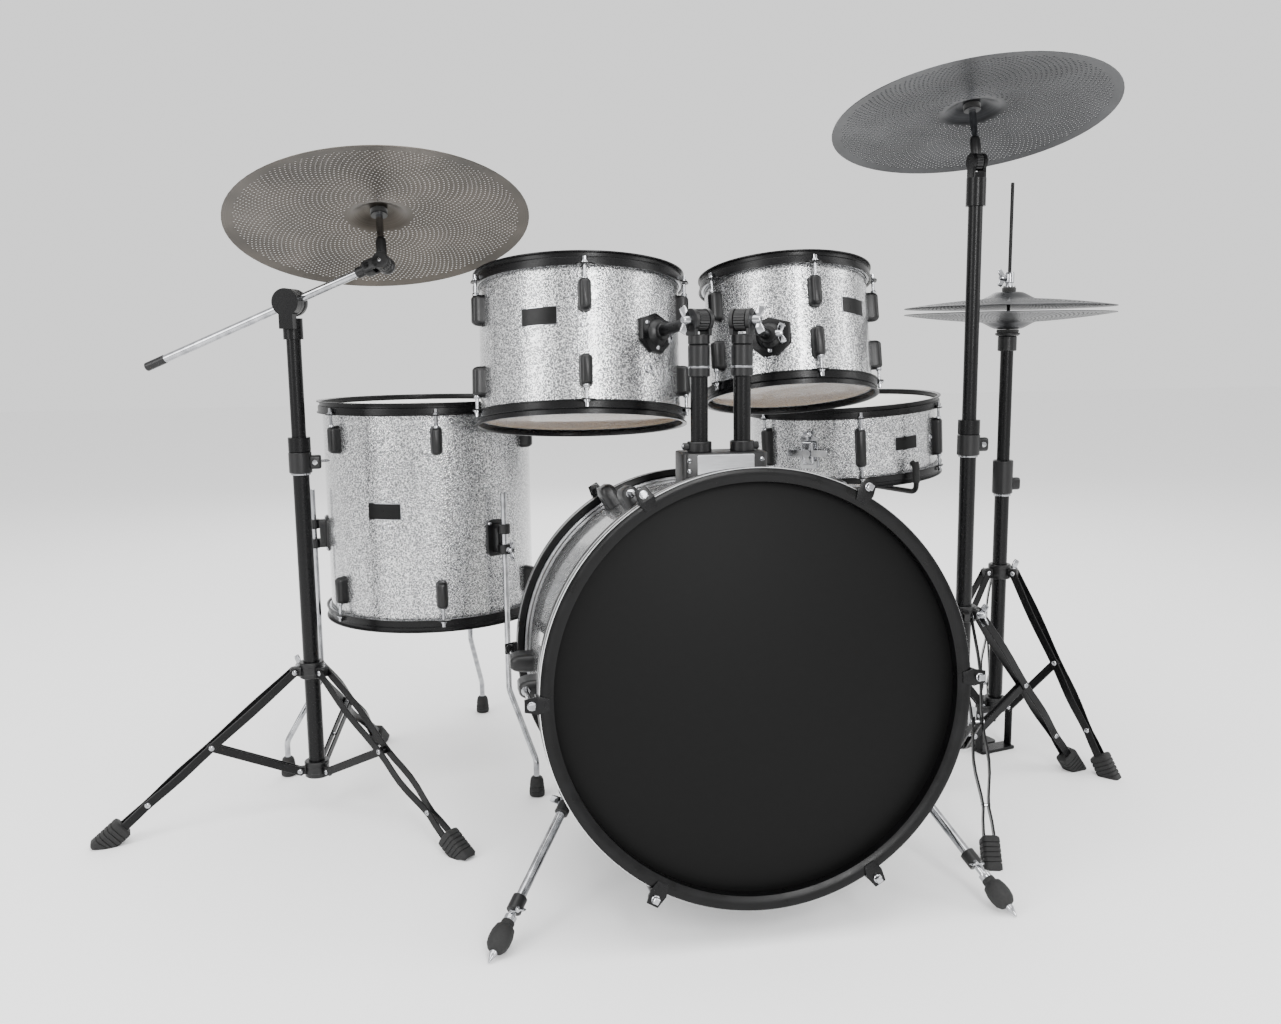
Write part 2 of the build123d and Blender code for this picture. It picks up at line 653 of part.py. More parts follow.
def tripod_brace(stand, out, pivot, low):
    side_line = Vector(-out.Y, out.X, 0)
    down, length = leg_line(stand, out, pivot)
    far = pivot + down * (length * brace_share)
    along = (far - low).normalized()
    near = low + along * ((far - low).length * 0.45) - side_line * (brace_gap + bar_thickness / 2)
    with BuildPart() as brace:
        add(rod(near, near + side_line * (2 * brace_gap + bar_thickness), 3))
        for bar in flat_bars(low, far, side_line, brace_gap, bore=pin_radius + fit):
            add(bar)
    return brace.part


def pivot_collar(stand, height, bore, ear, pin):
    """A ring about the tube with an ear and a pin for each leg or brace."""
    with BuildPart() as collar:
        with BuildSketch(Plane.XY.offset(height - 12)):
            with Locations(stand["place"]):
                Circle(tube_radius + collar_wall)
        extrude(amount=26)
        for out, top, low in leg_planes(stand):
            side_line = Vector(-out.Y, out.X, 0)
            centre = Vector(*stand["place"], height) + out * pivot_reach
            inner = centre - out * (pivot_reach - tube_radius)
            with BuildSketch(Plane(origin=inner, x_dir=side_line, z_dir=out)):
                Rectangle(2 * ear, 15)
            extrude(amount=pivot_reach - tube_radius + 6)
            add(rod(centre - side_line * pin, centre + side_line * pin, pin_radius))
        with BuildSketch(Plane.XY.offset(height - 12)):
            with Locations(stand["place"]):
                Circle(bore)
        extrude(amount=26, mode=Mode.SUBTRACT)
    return collar.part


def base_tube(stand, bottom):
    """The lower tube with the sleeve and clamp lug at its top."""
    lock = stand["lock"]
    with BuildPart() as tube:
        with BuildSketch(Plane.XY.offset(bottom)):
            with Locations(stand["place"]):
                Circle(tube_radius)
                Circle(inner_tube_radius + fit, mode=Mode.SUBTRACT)
        extrude(amount=lock - bottom)
        with BuildSketch(Plane.XY.offset(lock - 34)):
            with Locations(stand["place"]):
                Circle(tube_radius + 5)
                Circle(inner_tube_radius + fit, mode=Mode.SUBTRACT)
        extrude(amount=34)
        with BuildSketch(Plane(origin=(stand["place"][0] + tube_radius + 3, stand["place"][1], lock - 17),
                               z_dir=(1, 0, 0))):
            Rectangle(14, 22)
        extrude(amount=16)
    return tube.part


ear_half, leg_pin = leg_gap - gap, leg_gap + bar_thickness + 1.5
low_ear_half, low_pin = brace_gap - 0.3, brace_gap + bar_thickness


def fixed_tripod(stand):
    """A tripod that stays open: tube, both collars, legs and braces."""
    pieces = [pivot_collar(stand, stand["collar"], tube_radius, ear_half, leg_pin),
              pivot_collar(stand, stand["lower"], tube_radius, low_ear_half, low_pin)]
    for out, top, low in leg_planes(stand):
        pieces.append(tripod_leg(stand, out, top))
        pieces.append(tripod_brace(stand, out, top, low))
    return pieces


# The boom stand's tripod folds. Its legs and braces turn through these angles (radians) while the
# collar travels, so that each brace still meets its leg at the far end of the travel.
fold_out, fold_top, fold_low = leg_planes(boom_stand)[0]
fold_down, fold_leg_length = leg_line(boom_stand, fold_out, fold_top)
pin_down = fold_leg_length * brace_share
brace_line = fold_top + fold_down * pin_down - fold_low
leg_lean = atan2(fold_down.dot(fold_out), -fold_down.Z)
brace_lean = atan2(brace_line.dot(fold_out), brace_line.Z)
folded = radians(folded_lean)
folded_out, folded_down = pin_down * sin(folded), pin_down * cos(folded)
pivot_span = folded_down + sqrt(brace_line.length**2 - folded_out**2)
fold_travel = pivot_span - (fold_top - fold_low).Z
leg_fold = leg_lean - folded
brace_fold = brace_lean - atan2(folded_out, pivot_span - folded_down)

keep("boom_stand_tube", base_tube(boom_stand, boom_stand["lower"] - 14),
     pivot_collar(boom_stand, boom_stand["lower"], tube_radius, low_ear_half, low_pin))
keep("boom_stand_leg_collar",
     pivot_collar(boom_stand, boom_stand["collar"], tube_radius + fit, ear_half, leg_pin))
for i, (out, top, low) in enumerate(leg_planes(boom_stand), 1):
    keep(f"boom_stand_leg_{i}", tripod_leg(boom_stand, out, top))
    keep(f"boom_stand_brace_{i}", tripod_brace(boom_stand, out, top, low))
keep("crash_stand_base", base_tube(crash_stand, crash_stand["lower"] - 14), *fixed_tripod(crash_stand))


# ---------------------------------------------------------------- cymbals and their tilters
def cymbal(radius, side=1):
    """Bell, bow and edge. Local Z = 0 is the plane of the rim. side -1 turns it bell down."""
    top = bow_rise + bell_rise
    with BuildPart() as plate:
        with BuildSketch(Plane.XZ):
            with BuildLine():
                crown = Line((cymbal_hole, top), (seat_radius + 2, top))
                bell = Spline(crown @ 1, (bell_radius, bow_rise),
                              tangents=[(1, 0), (1, -0.25)])
                bow = Spline(bell @ 1, (radius, 0), tangents=[(1, -0.05), (1, -0.16)])
                rim = Line(bow @ 1, (radius, -cymbal_sheet))
                under_bow = Spline(rim @ 1, (bell_radius, bow_rise - cymbal_sheet),
                                   tangents=[(-1, 0.16), (-1, 0.05)])
                under_bell = Spline(under_bow @ 1, (seat_radius + 2, top - cymbal_sheet),
                                    tangents=[(-1, 0.25), (-1, 0)])
                Polyline(under_bell @ 1, (cymbal_hole, top - cymbal_sheet), crown @ 0)
            make_face()
        revolve(axis=Axis.Z)
    if side < 0:
        return plate.part.mirror(Plane.XY)
    return plate.part


bell_top = bow_rise + bell_rise
felt_seat = bell_top - cymbal_sheet - gap


def cymbal_post(reach):
    """Threaded post, felts, sleeve and wing nut on a tilter whose pivot is the local origin."""
    with BuildPart() as post:
        with Locations((0, 0, (reach + felt_seat - felt_height) / 2 + 5)):
            Cylinder(5.5, reach + felt_seat - felt_height - 10)
        with Locations((0, 0, reach + felt_seat - felt_height / 2)):
            Cylinder(felt_radius, felt_height)
        with Locations((0, 0, reach + bell_top)):
            Cylinder(cymbal_hole - fit, 14)
        with Locations((0, 0, reach + bell_top + gap + felt_height / 2)):
            Cylinder(felt_radius, felt_height)
        with Locations((0, 0, reach + bell_top + gap + felt_height + 5)):
            Cylinder(7, 10)
        with Locations((0, 0, reach + bell_top + gap + felt_height + 13)):
            Cylinder(3, 16)
    return post.part


def tilter(name, pivot, axis, hinge_line, reach, hub_half):
    post_place = Plane(origin=pivot, x_dir=hinge_line, z_dir=axis).location
    with BuildPart() as piece:
        add(cymbal_post(reach).moved(post_place))
        add(rod(pivot - hinge_line * hub_half, pivot + hinge_line * hub_half, 13))
        add(rod(pivot - hinge_line * hub_half, pivot + hinge_line * hub_half, 3 + fit),
            mode=Mode.SUBTRACT)
    keep(name, piece.part)


# boom stand
boom_pivot = Vector(*boom_stand["place"], boom_height)
turn, rise = radians(boom_azimuth), radians(boom_rise)
boom_line = Vector(cos(turn) * cos(rise), sin(turn) * cos(rise), sin(rise))
boom_hinge = Vector(-sin(turn), cos(turn), 0)
with BuildPart() as boom_upper:
    with BuildSketch(Plane.XY.offset(boom_stand["lock"] - 190)):
        with Locations(boom_stand["place"]):
            Circle(inner_tube_radius)
    extrude(amount=boom_height - 24 - boom_stand["lock"] + 190)
    with BuildSketch(Plane.XY.offset(boom_stand["lock"] + gap)):
        with Locations(boom_stand["place"]):
            Circle(inner_tube_radius + 6)
    extrude(amount=22)
    with BuildSketch(Plane.XY.offset(boom_height - 56)):
        with Locations(boom_stand["place"]):
            Circle(inner_tube_radius + 4)
    extrude(amount=32)
    add(rod(boom_pivot + boom_hinge * -head_half, boom_pivot + boom_hinge * -10.4, head_radius))
    side = Plane(origin=boom_pivot + boom_hinge * -18.2 - Vector(0, 0, 40), x_dir=boom_hinge, z_dir=(0, 0, 1))
    with BuildSketch(side):
        Rectangle(15.6, 22)
    extrude(amount=40)
    add(rod(boom_pivot + boom_hinge * -head_half, boom_pivot + boom_hinge * 22, 4))
keep("boom_stand_upper_tube", boom_upper.part)

boom_tip = boom_pivot + boom_line * boom_front
with BuildPart() as boom_arm:
    add(rod(boom_pivot + boom_hinge * -10, boom_pivot + boom_hinge * 14, head_radius))
    add(rod(boom_pivot - boom_line * boom_tail, boom_tip - boom_line * 22, boom_radius))
    add(rod(boom_pivot + boom_hinge * -10, boom_pivot + boom_hinge * 14, 4 + fit), mode=Mode.SUBTRACT)
left_axis = Vector(*left_cymbal_axis).normalized()
tilt_line = boom_line.cross(left_axis).normalized()


def tilter_fork(tip, along, hinge_line, hub_half):
    """Two cheeks and a pin that carry a tilter's hub."""
    with BuildPart() as fork:
        for side in (-1, 1):
            add(rod(tip + hinge_line * (side * (hub_half + gap)),
                    tip + hinge_line * (side * (hub_half + gap + 5)), 13))
            cheek = Plane(origin=tip - along * 26 + hinge_line * (side * (hub_half + gap + 2.5)),
                          x_dir=hinge_line, z_dir=along)
            with BuildSketch(cheek):
                Rectangle(5, 18)
            extrude(amount=26)
        back = Plane(origin=tip - along * 30, x_dir=hinge_line, z_dir=along)
        with BuildSketch(back):
            RectangleRounded(2 * (hub_half + gap + 5), 20, 4)
        extrude(amount=14)
        add(rod(tip - hinge_line * (hub_half + 4), tip + hinge_line * (hub_half + 4), 3))
    return fork.part


with BuildPart() as boom_whole:
    add(boom_arm.part)
    add(tilter_fork(boom_tip, boom_line, tilt_line, tilter_half))
keep("boom_arm", boom_whole.part)
tilter("boom_tilter", boom_tip, left_axis, tilt_line, tilter_reach, tilter_half)
left_cymbal_centre = boom_tip + left_axis * tilter_reach
keep("left_cymbal", cymbal(left_cymbal_radius),
     place=Plane(origin=left_cymbal_centre, x_dir=tilt_line, z_dir=left_axis).location)

# crash stand
crash_pivot = Vector(*crash_stand["place"], crash_tilter_height)
crash_axis = Vector(*crash_cymbal_axis).normalized()
crash_hinge = Vector(0, 0, 1).cross(crash_axis).normalized()
with BuildPart() as crash_upper:
    with BuildSketch(Plane.XY.offset(crash_stand["lock"] - 190)):
        with Locations(crash_stand["place"]):
            Circle(inner_tube_radius)
    extrude(amount=crash_tilter_height - 24 - crash_stand["lock"] + 190)
    with BuildSketch(Plane.XY.offset(crash_stand["lock"] + gap)):
        with Locations(crash_stand["place"]):
            Circle(inner_tube_radius + 6)
    extrude(amount=22)
    with BuildSketch(Plane.XY.offset(crash_tilter_height - 66)):
        with Locations(crash_stand["place"]):
            Circle(inner_tube_radius + 4)
    extrude(amount=42)
    add(tilter_fork(crash_pivot, Vector(0, 0, 1), crash_hinge, tilter_half))
keep("crash_stand_upper_tube", crash_upper.part)
tilter("crash_tilter", crash_pivot, crash_axis, crash_hinge, crash_tilter_reach, tilter_half)
crash_cymbal_centre = crash_pivot + crash_axis * crash_tilter_reach
keep("crash_cymbal", cymbal(crash_cymbal_radius),
     place=Plane(origin=crash_cymbal_centre, x_dir=crash_hinge, z_dir=crash_axis).location)

# ---------------------------------------------------------------- hi-hat
hat_x, hat_y = hihat_stand["place"]
hat_seat = hat_height - bell_top
with BuildPart() as hat_tube:
    with BuildSketch(Plane.XY.offset(hihat_stand["lower"] - 14)):
        with Locations(hihat_stand["place"]):
            Circle(inner_tube_radius)
            Circle(hat_rod_radius + 3, mode=Mode.SUBTRACT)
    extrude(amount=hat_seat - 4 - hihat_stand["lower"] + 14)
    for low, high, radius in ((hat_seat - 38, hat_seat - 12, inner_tube_radius + 5),
                              (hat_seat - 12, hat_seat - gap, 21.0)):
        with BuildSketch(Plane.XY.offset(low)):
            with Locations(hihat_stand["place"]):
                Circle(radius)
                Circle(hat_rod_radius + 3, mode=Mode.SUBTRACT)
        extrude(amount=high - low)
with BuildPart() as hat_sleeve:
    lock = hihat_stand["lock"]
    with BuildSketch(Plane.XY.offset(hihat_stand["lower"] + 20)):
        with Locations(hihat_stand["place"]):
            Circle(tube_radius)
            Circle(inner_tube_radius, mode=Mode.SUBTRACT)
    extrude(amount=lock - hihat_stand["lower"] - 20)
    with BuildSketch(Plane.XY.offset(lock - 34)):
        with Locations(hihat_stand["place"]):
            Circle(tube_radius + 5)
            Circle(inner_tube_radius, mode=Mode.SUBTRACT)
    extrude(amount=60)

turn = radians(hat_pedal_direction)
pedal_out = Vector(cos(turn), sin(turn), 0)
pedal_side = Vector(-pedal_out.Y, pedal_out.X, 0)
hat_foot = Vector(hat_x, hat_y, 0)
with BuildPart() as hat_base_plate:
    with BuildSketch(Plane(origin=hat_foot + pedal_out * 150, x_dir=pedal_out, z_dir=(0, 0, 1))):
        RectangleRounded(260, 60, 12)
    extrude(amount=6)
    with BuildSketch(Plane(origin=hat_foot + pedal_out * 268, x_dir=pedal_out, z_dir=(0, 0, 1))):
        RectangleRounded(56, footboard_width, 8)
    extrude(amount=14)
with BuildPart() as hat_frame:
    for side in (-1, 1):
        with BuildSketch(Plane(origin=hat_foot + pedal_side * (side * 34) + Vector(0, 0, 6),
                               x_dir=pedal_out, z_dir=(0, 0, 1))):
            Rectangle(16, 5)
        extrude(amount=hihat_stand["lower"] - 6)
    with BuildSketch(Plane(origin=hat_foot + Vector(0, 0, hihat_stand["lower"] - 12),
                           x_dir=pedal_out, z_dir=(0, 0, 1))):
        Rectangle(16, 73)
    extrude(amount=12)
    with BuildSketch(Plane.XY.offset(hihat_stand["lower"] - 20)):
        with Locations(hihat_stand["place"]):
            Circle(inner_tube_radius)
    extrude(amount=30, mode=Mode.SUBTRACT)
    with BuildSketch(Plane(origin=hat_foot, x_dir=pedal_out, z_dir=(0, 0, 1))):
        Rectangle(30, 76)
    extrude(amount=6)
hat_top = hat_height + hat_opening
with BuildPart() as hat_rod:
    with BuildSketch(Plane.XY.offset(hihat_stand["lower"] - 34)):
        with Locations(hihat_stand["place"]):
            Circle(hat_rod_radius)
    extrude(amount=hat_rod_top - hihat_stand["lower"] + 34)
with BuildPart() as clutch:
    low = hat_top + bell_top
    for start, height, radius in ((low - cymbal_sheet - 9, 8, 10.0), (low, 8, 12.0), (low + 8, 26, 8.0),
                                  (low - cymbal_sheet - 1, cymbal_sheet + 1, cymbal_hole - fit)):
        with BuildSketch(Plane.XY.offset(start)):
            with Locations(hihat_stand["place"]):
                Circle(radius)
                Circle(hat_rod_radius, mode=Mode.SUBTRACT)
        extrude(amount=height)
keep("hihat_rod", hat_rod.part, clutch.part)
keep("hihat_top_cymbal", cymbal(hat_radius), place=Location((hat_x, hat_y, hat_top)))
keep("hihat_bottom_cymbal", cymbal(hat_radius, -1), place=Location((hat_x, hat_y, hat_height)))


def footboard(heel, towards, side_line, toe_height, name, *extras):
    """A sloped plate hinged at the heel on a pin across it."""
    toe = heel + towards * footboard_length + Vector(0, 0, toe_height - heel.Z)
    along = (toe - heel).normalized()
    normal = along.cross(side_line)
    if normal.Z < 0:
        normal = -normal
    with BuildPart() as board:
        with BuildSketch(Plane(origin=heel + along * (footboard_length / 2 + 6) + normal * 3,
                               x_dir=along, z_dir=normal)):
            RectangleRounded(footboard_length - 12, footboard_width, 18)
        extrude(amount=6)
        add(rod(heel - side_line * 26, heel + side_line * 26, 6))
        with BuildSketch(Plane(origin=heel + along * 7, x_dir=along, z_dir=side_line)):
            Rectangle(20, 8)
        extrude(amount=24, both=True)
        add(rod(heel - side_line * 30, heel + side_line * 30, 3 + fit), mode=Mode.SUBTRACT)
    keep(name, board.part, *extras)
    return toe


def heel_block(heel, towards, side_line, base_thickness):
    """Two cheeks and the pin that a footboard turns on."""
    with BuildPart() as cheeks:
        for side in (-1, 1):
            spot = heel + side_line * (side * 30) - Vector(0, 0, heel.Z - base_thickness)
            with BuildSketch(Plane(origin=spot, x_dir=side_line, z_dir=(0, 0, 1))):
                Rectangle(6, 16)
            extrude(amount=heel.Z + 6 - base_thickness)
        add(rod(heel - side_line * 33, heel + side_line * 33, 3))
    return cheeks.part


hat_heel = hat_foot + pedal_out * 262 + Vector(0, 0, 30)
hat_pedal_line = -pedal_side
hat_heel_block = heel_block(hat_heel, -pedal_out, pedal_side, 14)
base_solids = [hat_tube.part, hat_sleeve.part, hat_base_plate.part, hat_frame.part, hat_heel_block]
keep("hihat_stand_base", *base_solids, *fixed_tripod(hihat_stand))
footboard(hat_heel, -pedal_out, pedal_side, 40, "hihat_footboard")

# ---------------------------------------------------------------- snare basket
basket_ring = snare_radius + rod_offset + 12
basket_floor = -snare_edge - 26
basket_arms = []
for i in range(3):
    angle = snare_first_lug + 30 + 120 * i
    path = [around(angle, 16, basket_floor - 20), around(angle, 60, basket_floor),
            around(angle, basket_ring, basket_floor), around(angle, basket_ring, -snare_edge + 30)]
    with BuildPart() as basket_arm:
        with BuildLine():
            route = FilletPolyline(*path, radius=12)
        with BuildSketch(Plane(origin=route @ 0, z_dir=route % 0)):
            Circle(5)
        sweep()
    basket_arms.append(basket_arm.part)
with BuildPart() as basket:
    with Locations((0, 0, basket_floor - 20)):
        Cylinder(20, 22)
    for basket_arm in basket_arms:
        add(basket_arm)
basket_part = basket.part.moved(snare_plane.location)
basket_pivot = snare_plane.from_local_coords(Vector(0, 0, basket_floor - 50))
basket_hinge = Vector(1, 0, 0)
up = snare_plane.z_dir
with BuildPart() as basket_whole:
    add(basket_part)
    add(rod(basket_pivot - basket_hinge * 6, basket_pivot + basket_hinge * 6, 13))
    add(rod(basket_pivot, basket_pivot + up * 16, 5.5))
    add(rod(basket_pivot - basket_hinge * 8, basket_pivot + basket_hinge * 8, 3 + fit), mode=Mode.SUBTRACT)
keep("snare_basket", basket_whole.part)
with BuildPart() as snare_tube:
    with BuildSketch(Plane.XY.offset(snare_stand["lock"] - 100)):
        with Locations((basket_pivot.X, basket_pivot.Y)):
            Circle(inner_tube_radius)
    extrude(amount=basket_pivot.Z - 24 - snare_stand["lock"] + 100)
    add(tilter_fork(basket_pivot, Vector(0, 0, 1), basket_hinge, tilter_half))
basket_stand = dict(snare_stand, place=(basket_pivot.X, basket_pivot.Y))
keep("snare_stand_base", base_tube(basket_stand, basket_stand["lower"] - 14), snare_tube.part,
     *fixed_tripod(basket_stand))

# ---------------------------------------------------------------- bass drum pedal
past = radians(beater_past)
pedal_setback = ((beater_arm + beater_radius) * sin(past) + beater_length / 2 * cos(past)
                 + beater_clearance)
batter_head = bass_centre + bass_back * (bass_depth / 2 + film)
pedal_shaft_y = batter_head.Y + (pedal_setback + (pedal_shaft_height - batter_head.Z)
                                 * sin(bass_tilt)) / cos(bass_tilt)
pedal_heel_y = pedal_shaft_y + footboard_length
pedal_x = bass_place[0]
shaft = Vector(pedal_x, pedal_shaft_y, pedal_shaft_height)
heel = Vector(pedal_x, pedal_heel_y, 30)
side_line = Vector(1, 0, 0)
with BuildPart() as pedal_base:
    with BuildSketch(Plane(origin=(pedal_x, (pedal_shaft_y + pedal_heel_y) / 2, 0))):
        Rectangle(60, pedal_heel_y - pedal_shaft_y + 60)
    extrude(amount=6)
    with BuildSketch(Plane(origin=(pedal_x, pedal_shaft_y, 0))):
        RectangleRounded(126, 40, 6)
    extrude(amount=8)
    with BuildSketch(Plane(origin=(pedal_x, pedal_heel_y + 6, 0))):
        RectangleRounded(footboard_width, 56, 8)
    extrude(amount=14)
    for side in (-1, 1):
        with BuildSketch(Plane(origin=(pedal_x + side * 52, pedal_shaft_y, 0))):
            Rectangle(12, 20)
        extrude(amount=pedal_shaft_height + 12)
    add(rod(shaft - side_line * 70, shaft + side_line * 70, 5 + fit), mode=Mode.SUBTRACT)
    add(heel_block(heel, Vector(0, -1, 0), side_line, 14))
keep("kick_pedal_frame", pedal_base.part)
footboard(heel, Vector(0, -1, 0), side_line, 96, "kick_pedal_footboard")

lean = radians(beater_rest)
beater_line = Vector(0, sin(lean), cos(lean))
beater_face = Vector(0, -cos(lean), sin(lean))
beater_centre = shaft + beater_line * beater_arm
with BuildPart() as beater:
    add(rod(shaft - side_line * 62, shaft + side_line * 62, 5))
    add(rod(shaft - side_line * 12, shaft + side_line * 12, 13))
    add(rod(shaft - beater_line * 18, beater_centre + beater_line * 6, 3.2))
    add(rod(beater_centre - beater_face * (beater_length / 2),
            beater_centre + beater_face * (beater_length / 2), beater_radius))
keep("kick_pedal_beater", beater.part)
beater_swing = beater_rest - bass_nose_up + beater_past

# ---------------------------------------------------------------- move to the origin and write
whole = Compound([solid for piece in kit.values() for solid in piece.solids()]).bounding_box()
origin = Vector((whole.min.X + whole.max.X) / 2, (whole.min.Y + whole.max.Y) / 2, whole.min.Z)
to_origin = Location(-origin)
for name, piece in kit.items():
    piece = piece.moved(to_origin)
    piece.label = name
    export_step(piece, f"parts/{name}.step")
print(len(kit), "sub-parts; box", whole.size, "origin", origin)
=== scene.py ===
import bpy
import bmesh
import math
from mathutils import Matrix, Vector


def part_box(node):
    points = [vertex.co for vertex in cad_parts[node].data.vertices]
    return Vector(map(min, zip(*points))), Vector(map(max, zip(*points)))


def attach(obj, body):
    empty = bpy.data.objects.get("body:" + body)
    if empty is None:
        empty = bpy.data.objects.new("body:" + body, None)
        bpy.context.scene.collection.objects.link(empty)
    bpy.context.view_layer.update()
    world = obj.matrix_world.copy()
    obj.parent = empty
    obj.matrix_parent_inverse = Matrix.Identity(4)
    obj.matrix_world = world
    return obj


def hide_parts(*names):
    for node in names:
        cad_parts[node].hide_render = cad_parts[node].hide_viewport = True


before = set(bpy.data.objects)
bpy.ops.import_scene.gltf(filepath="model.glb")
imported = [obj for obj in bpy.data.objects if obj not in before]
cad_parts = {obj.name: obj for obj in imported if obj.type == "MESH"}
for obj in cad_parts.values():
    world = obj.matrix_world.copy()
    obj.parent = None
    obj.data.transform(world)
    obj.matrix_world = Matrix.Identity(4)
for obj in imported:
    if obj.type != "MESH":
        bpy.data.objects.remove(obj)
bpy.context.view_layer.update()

hatStandPlace = (582.0, 490.0)
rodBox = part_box("hihat_rod")
kitShift = Vector(((rodBox[0].x + rodBox[1].x) / 2 - hatStandPlace[0] / 1000,
                   (rodBox[0].y + rodBox[1].y) / 2 - hatStandPlace[1] / 1000, 0))
upright = Vector((0, 0, 1))


# Nodes and finishes.
# adds a node, sets its settings and fills its inputs with values or links
def addNode(tree, kind, ins=None, **settings):
    node = tree.nodes.new(kind)
    for key, value in settings.items():
        setattr(node, key, value)
    for key, value in (ins or {}).items():
        if isinstance(value, bpy.types.NodeSocket):
            tree.links.new(value, node.inputs[key])
        else:
            node.inputs[key].default_value = value
    return node


# sRGB hex to linear RGBA
def linear(hexColour):
    channels = [int(hexColour[i:i + 2], 16) / 255 for i in (1, 3, 5)]
    return tuple(c / 12.92 if c <= 0.04045 else ((c + 0.055) / 1.055) ** 2.4 for c in channels) + (1.0,)


# a pattern's scale from the real size of one repeat
def perMetre(sizeMm):
    return 1000.0 / sizeMm


def colourRamp(tree, factor, stops):
    ramp = addNode(tree, "ShaderNodeValToRGB", {"Fac": factor})
    while len(ramp.color_ramp.elements) < len(stops):
        ramp.color_ramp.elements.new(0.5)
    for element, (position, colour) in zip(ramp.color_ramp.elements, stops):
        element.position = position
        element.color = linear(colour)
    return ramp.outputs["Color"]


# fine noise that drives roughness and a shallow bump
def grain(tree, shader, coords, sizeMm, bumpMm, rough, stretch=(1, 1, 1)):
    mapped = addNode(tree, "ShaderNodeMapping", {"Vector": coords, "Scale": stretch})
    noise = addNode(tree, "ShaderNodeTexNoise",
                    {"Vector": mapped.outputs["Vector"], "Scale": perMetre(sizeMm), "Detail": 4.0})
    spread = addNode(tree, "ShaderNodeMapRange",
                     {"Value": noise.outputs["Fac"], "From Min": 0.3, "From Max": 0.7,
                      "To Min": rough[0], "To Max": rough[1]})
    tree.links.new(spread.outputs["Result"], shader.inputs["Roughness"])
    bump = addNode(tree, "ShaderNodeBump",
                   {"Height": noise.outputs["Fac"], "Strength": 0.6, "Distance": bumpMm / 1000})
    tree.links.new(bump.outputs["Normal"], shader.inputs["Normal"])
    return noise


def newFinish(name, sockets, detail):
    material = bpy.data.materials.new(name)
    material.use_nodes = True
    tree = material.node_tree
    shader = tree.nodes["Principled BSDF"]
    for key, value in sockets.items():
        shader.inputs[key].default_value = value
    coords = addNode(tree, "ShaderNodeTexCoord").outputs["Object"]
    detail(tree, shader, coords)
    return material


def sparkleDetail(tree, shader, coords):
    wobble = addNode(tree, "ShaderNodeTexNoise", {"Vector": coords, "Scale": perMetre(7.0), "Detail": 2.0})
    bent = addNode(tree, "ShaderNodeVectorMath", {0: wobble.outputs["Color"], 1: (0.011, 0.011, 0.011),
                                                  2: coords}, operation="MULTIPLY_ADD")
    worms = addNode(tree, "ShaderNodeTexVoronoi", {"Vector": bent.outputs["Vector"],
                                                   "Scale": perMetre(4.4)}, feature="DISTANCE_TO_EDGE")
    flakes = addNode(tree, "ShaderNodeTexNoise", {"Vector": coords, "Scale": perMetre(1.7), "Detail": 3.0})
    mixed = addNode(tree, "ShaderNodeMath", {0: flakes.outputs["Fac"], 1: 0.62,
                                             2: worms.outputs["Distance"]}, operation="MULTIPLY_ADD")
    colour = colourRamp(tree, mixed.outputs["Value"], [
        (0.3, "#F4F4F4"), (0.37, "#C2C3C4"), (0.44, "#7E7F81"), (0.56, "#47484A"), (0.76, "#9A9B9D")])
    tree.links.new(colour, shader.inputs["Base Color"])
    bump = addNode(tree, "ShaderNodeBump",
                   {"Height": mixed.outputs["Value"], "Strength": 0.5, "Distance": 0.0008})
    tree.links.new(bump.outputs["Normal"], shader.inputs["Normal"])


def mapleDetail(tree, shader, coords):
    noise = grain(tree, shader, coords, 9.0, 0.12, (0.38, 0.55), (1, 1, 9))
    tree.links.new(colourRamp(tree, noise.outputs["Fac"], [
        (0.3, "#A9814F"), (0.5, "#C9A473"), (0.7, "#DCBD8F")]), shader.inputs["Base Color"])


def cymbalDetail(warm):
    def detail(tree, shader, coords):
        ring = addNode(tree, "ShaderNodeAttribute", attribute_name="grooveRadius")
        noise = addNode(tree, "ShaderNodeTexNoise",
                        {"W": ring.outputs["Fac"], "Scale": perMetre(1.4), "Detail": 3.0},
                        noise_dimensions="1D")
        patch = addNode(tree, "ShaderNodeTexNoise", {"Vector": coords, "Scale": perMetre(90.0),
                                                     "Detail": 1.0})
        both = addNode(tree, "ShaderNodeMath", {0: noise.outputs["Fac"], 1: 0.55, 2: patch.outputs["Fac"]},
                       operation="MULTIPLY_ADD")
        stops = ([(0.45, "#37332E"), (0.78, "#48433D"), (1.0, "#57514B")] if warm
                 else [(0.45, "#2C2D2F"), (0.78, "#3A3B3D"), (1.0, "#47484A")])
        tree.links.new(colourRamp(tree, both.outputs["Value"], stops), shader.inputs["Base Color"])
        rough = addNode(tree, "ShaderNodeMapRange",
                        {"Value": noise.outputs["Fac"], "To Min": 0.3, "To Max": 0.46})
        tree.links.new(rough.outputs["Result"], shader.inputs["Roughness"])
        bump = addNode(tree, "ShaderNodeBump",
                       {"Height": noise.outputs["Fac"], "Strength": 0.5, "Distance": 0.00012})
        tree.links.new(bump.outputs["Normal"], shader.inputs["Normal"])
    return detail


def plainGrain(sizeMm, bumpMm, rough, stretch=(1, 1, 1), stops=None):
    def detail(tree, shader, coords):
        noise = grain(tree, shader, coords, sizeMm, bumpMm, rough, stretch)
        if stops:
            tree.links.new(colourRamp(tree, noise.outputs["Fac"], stops), shader.inputs["Base Color"])
    return detail


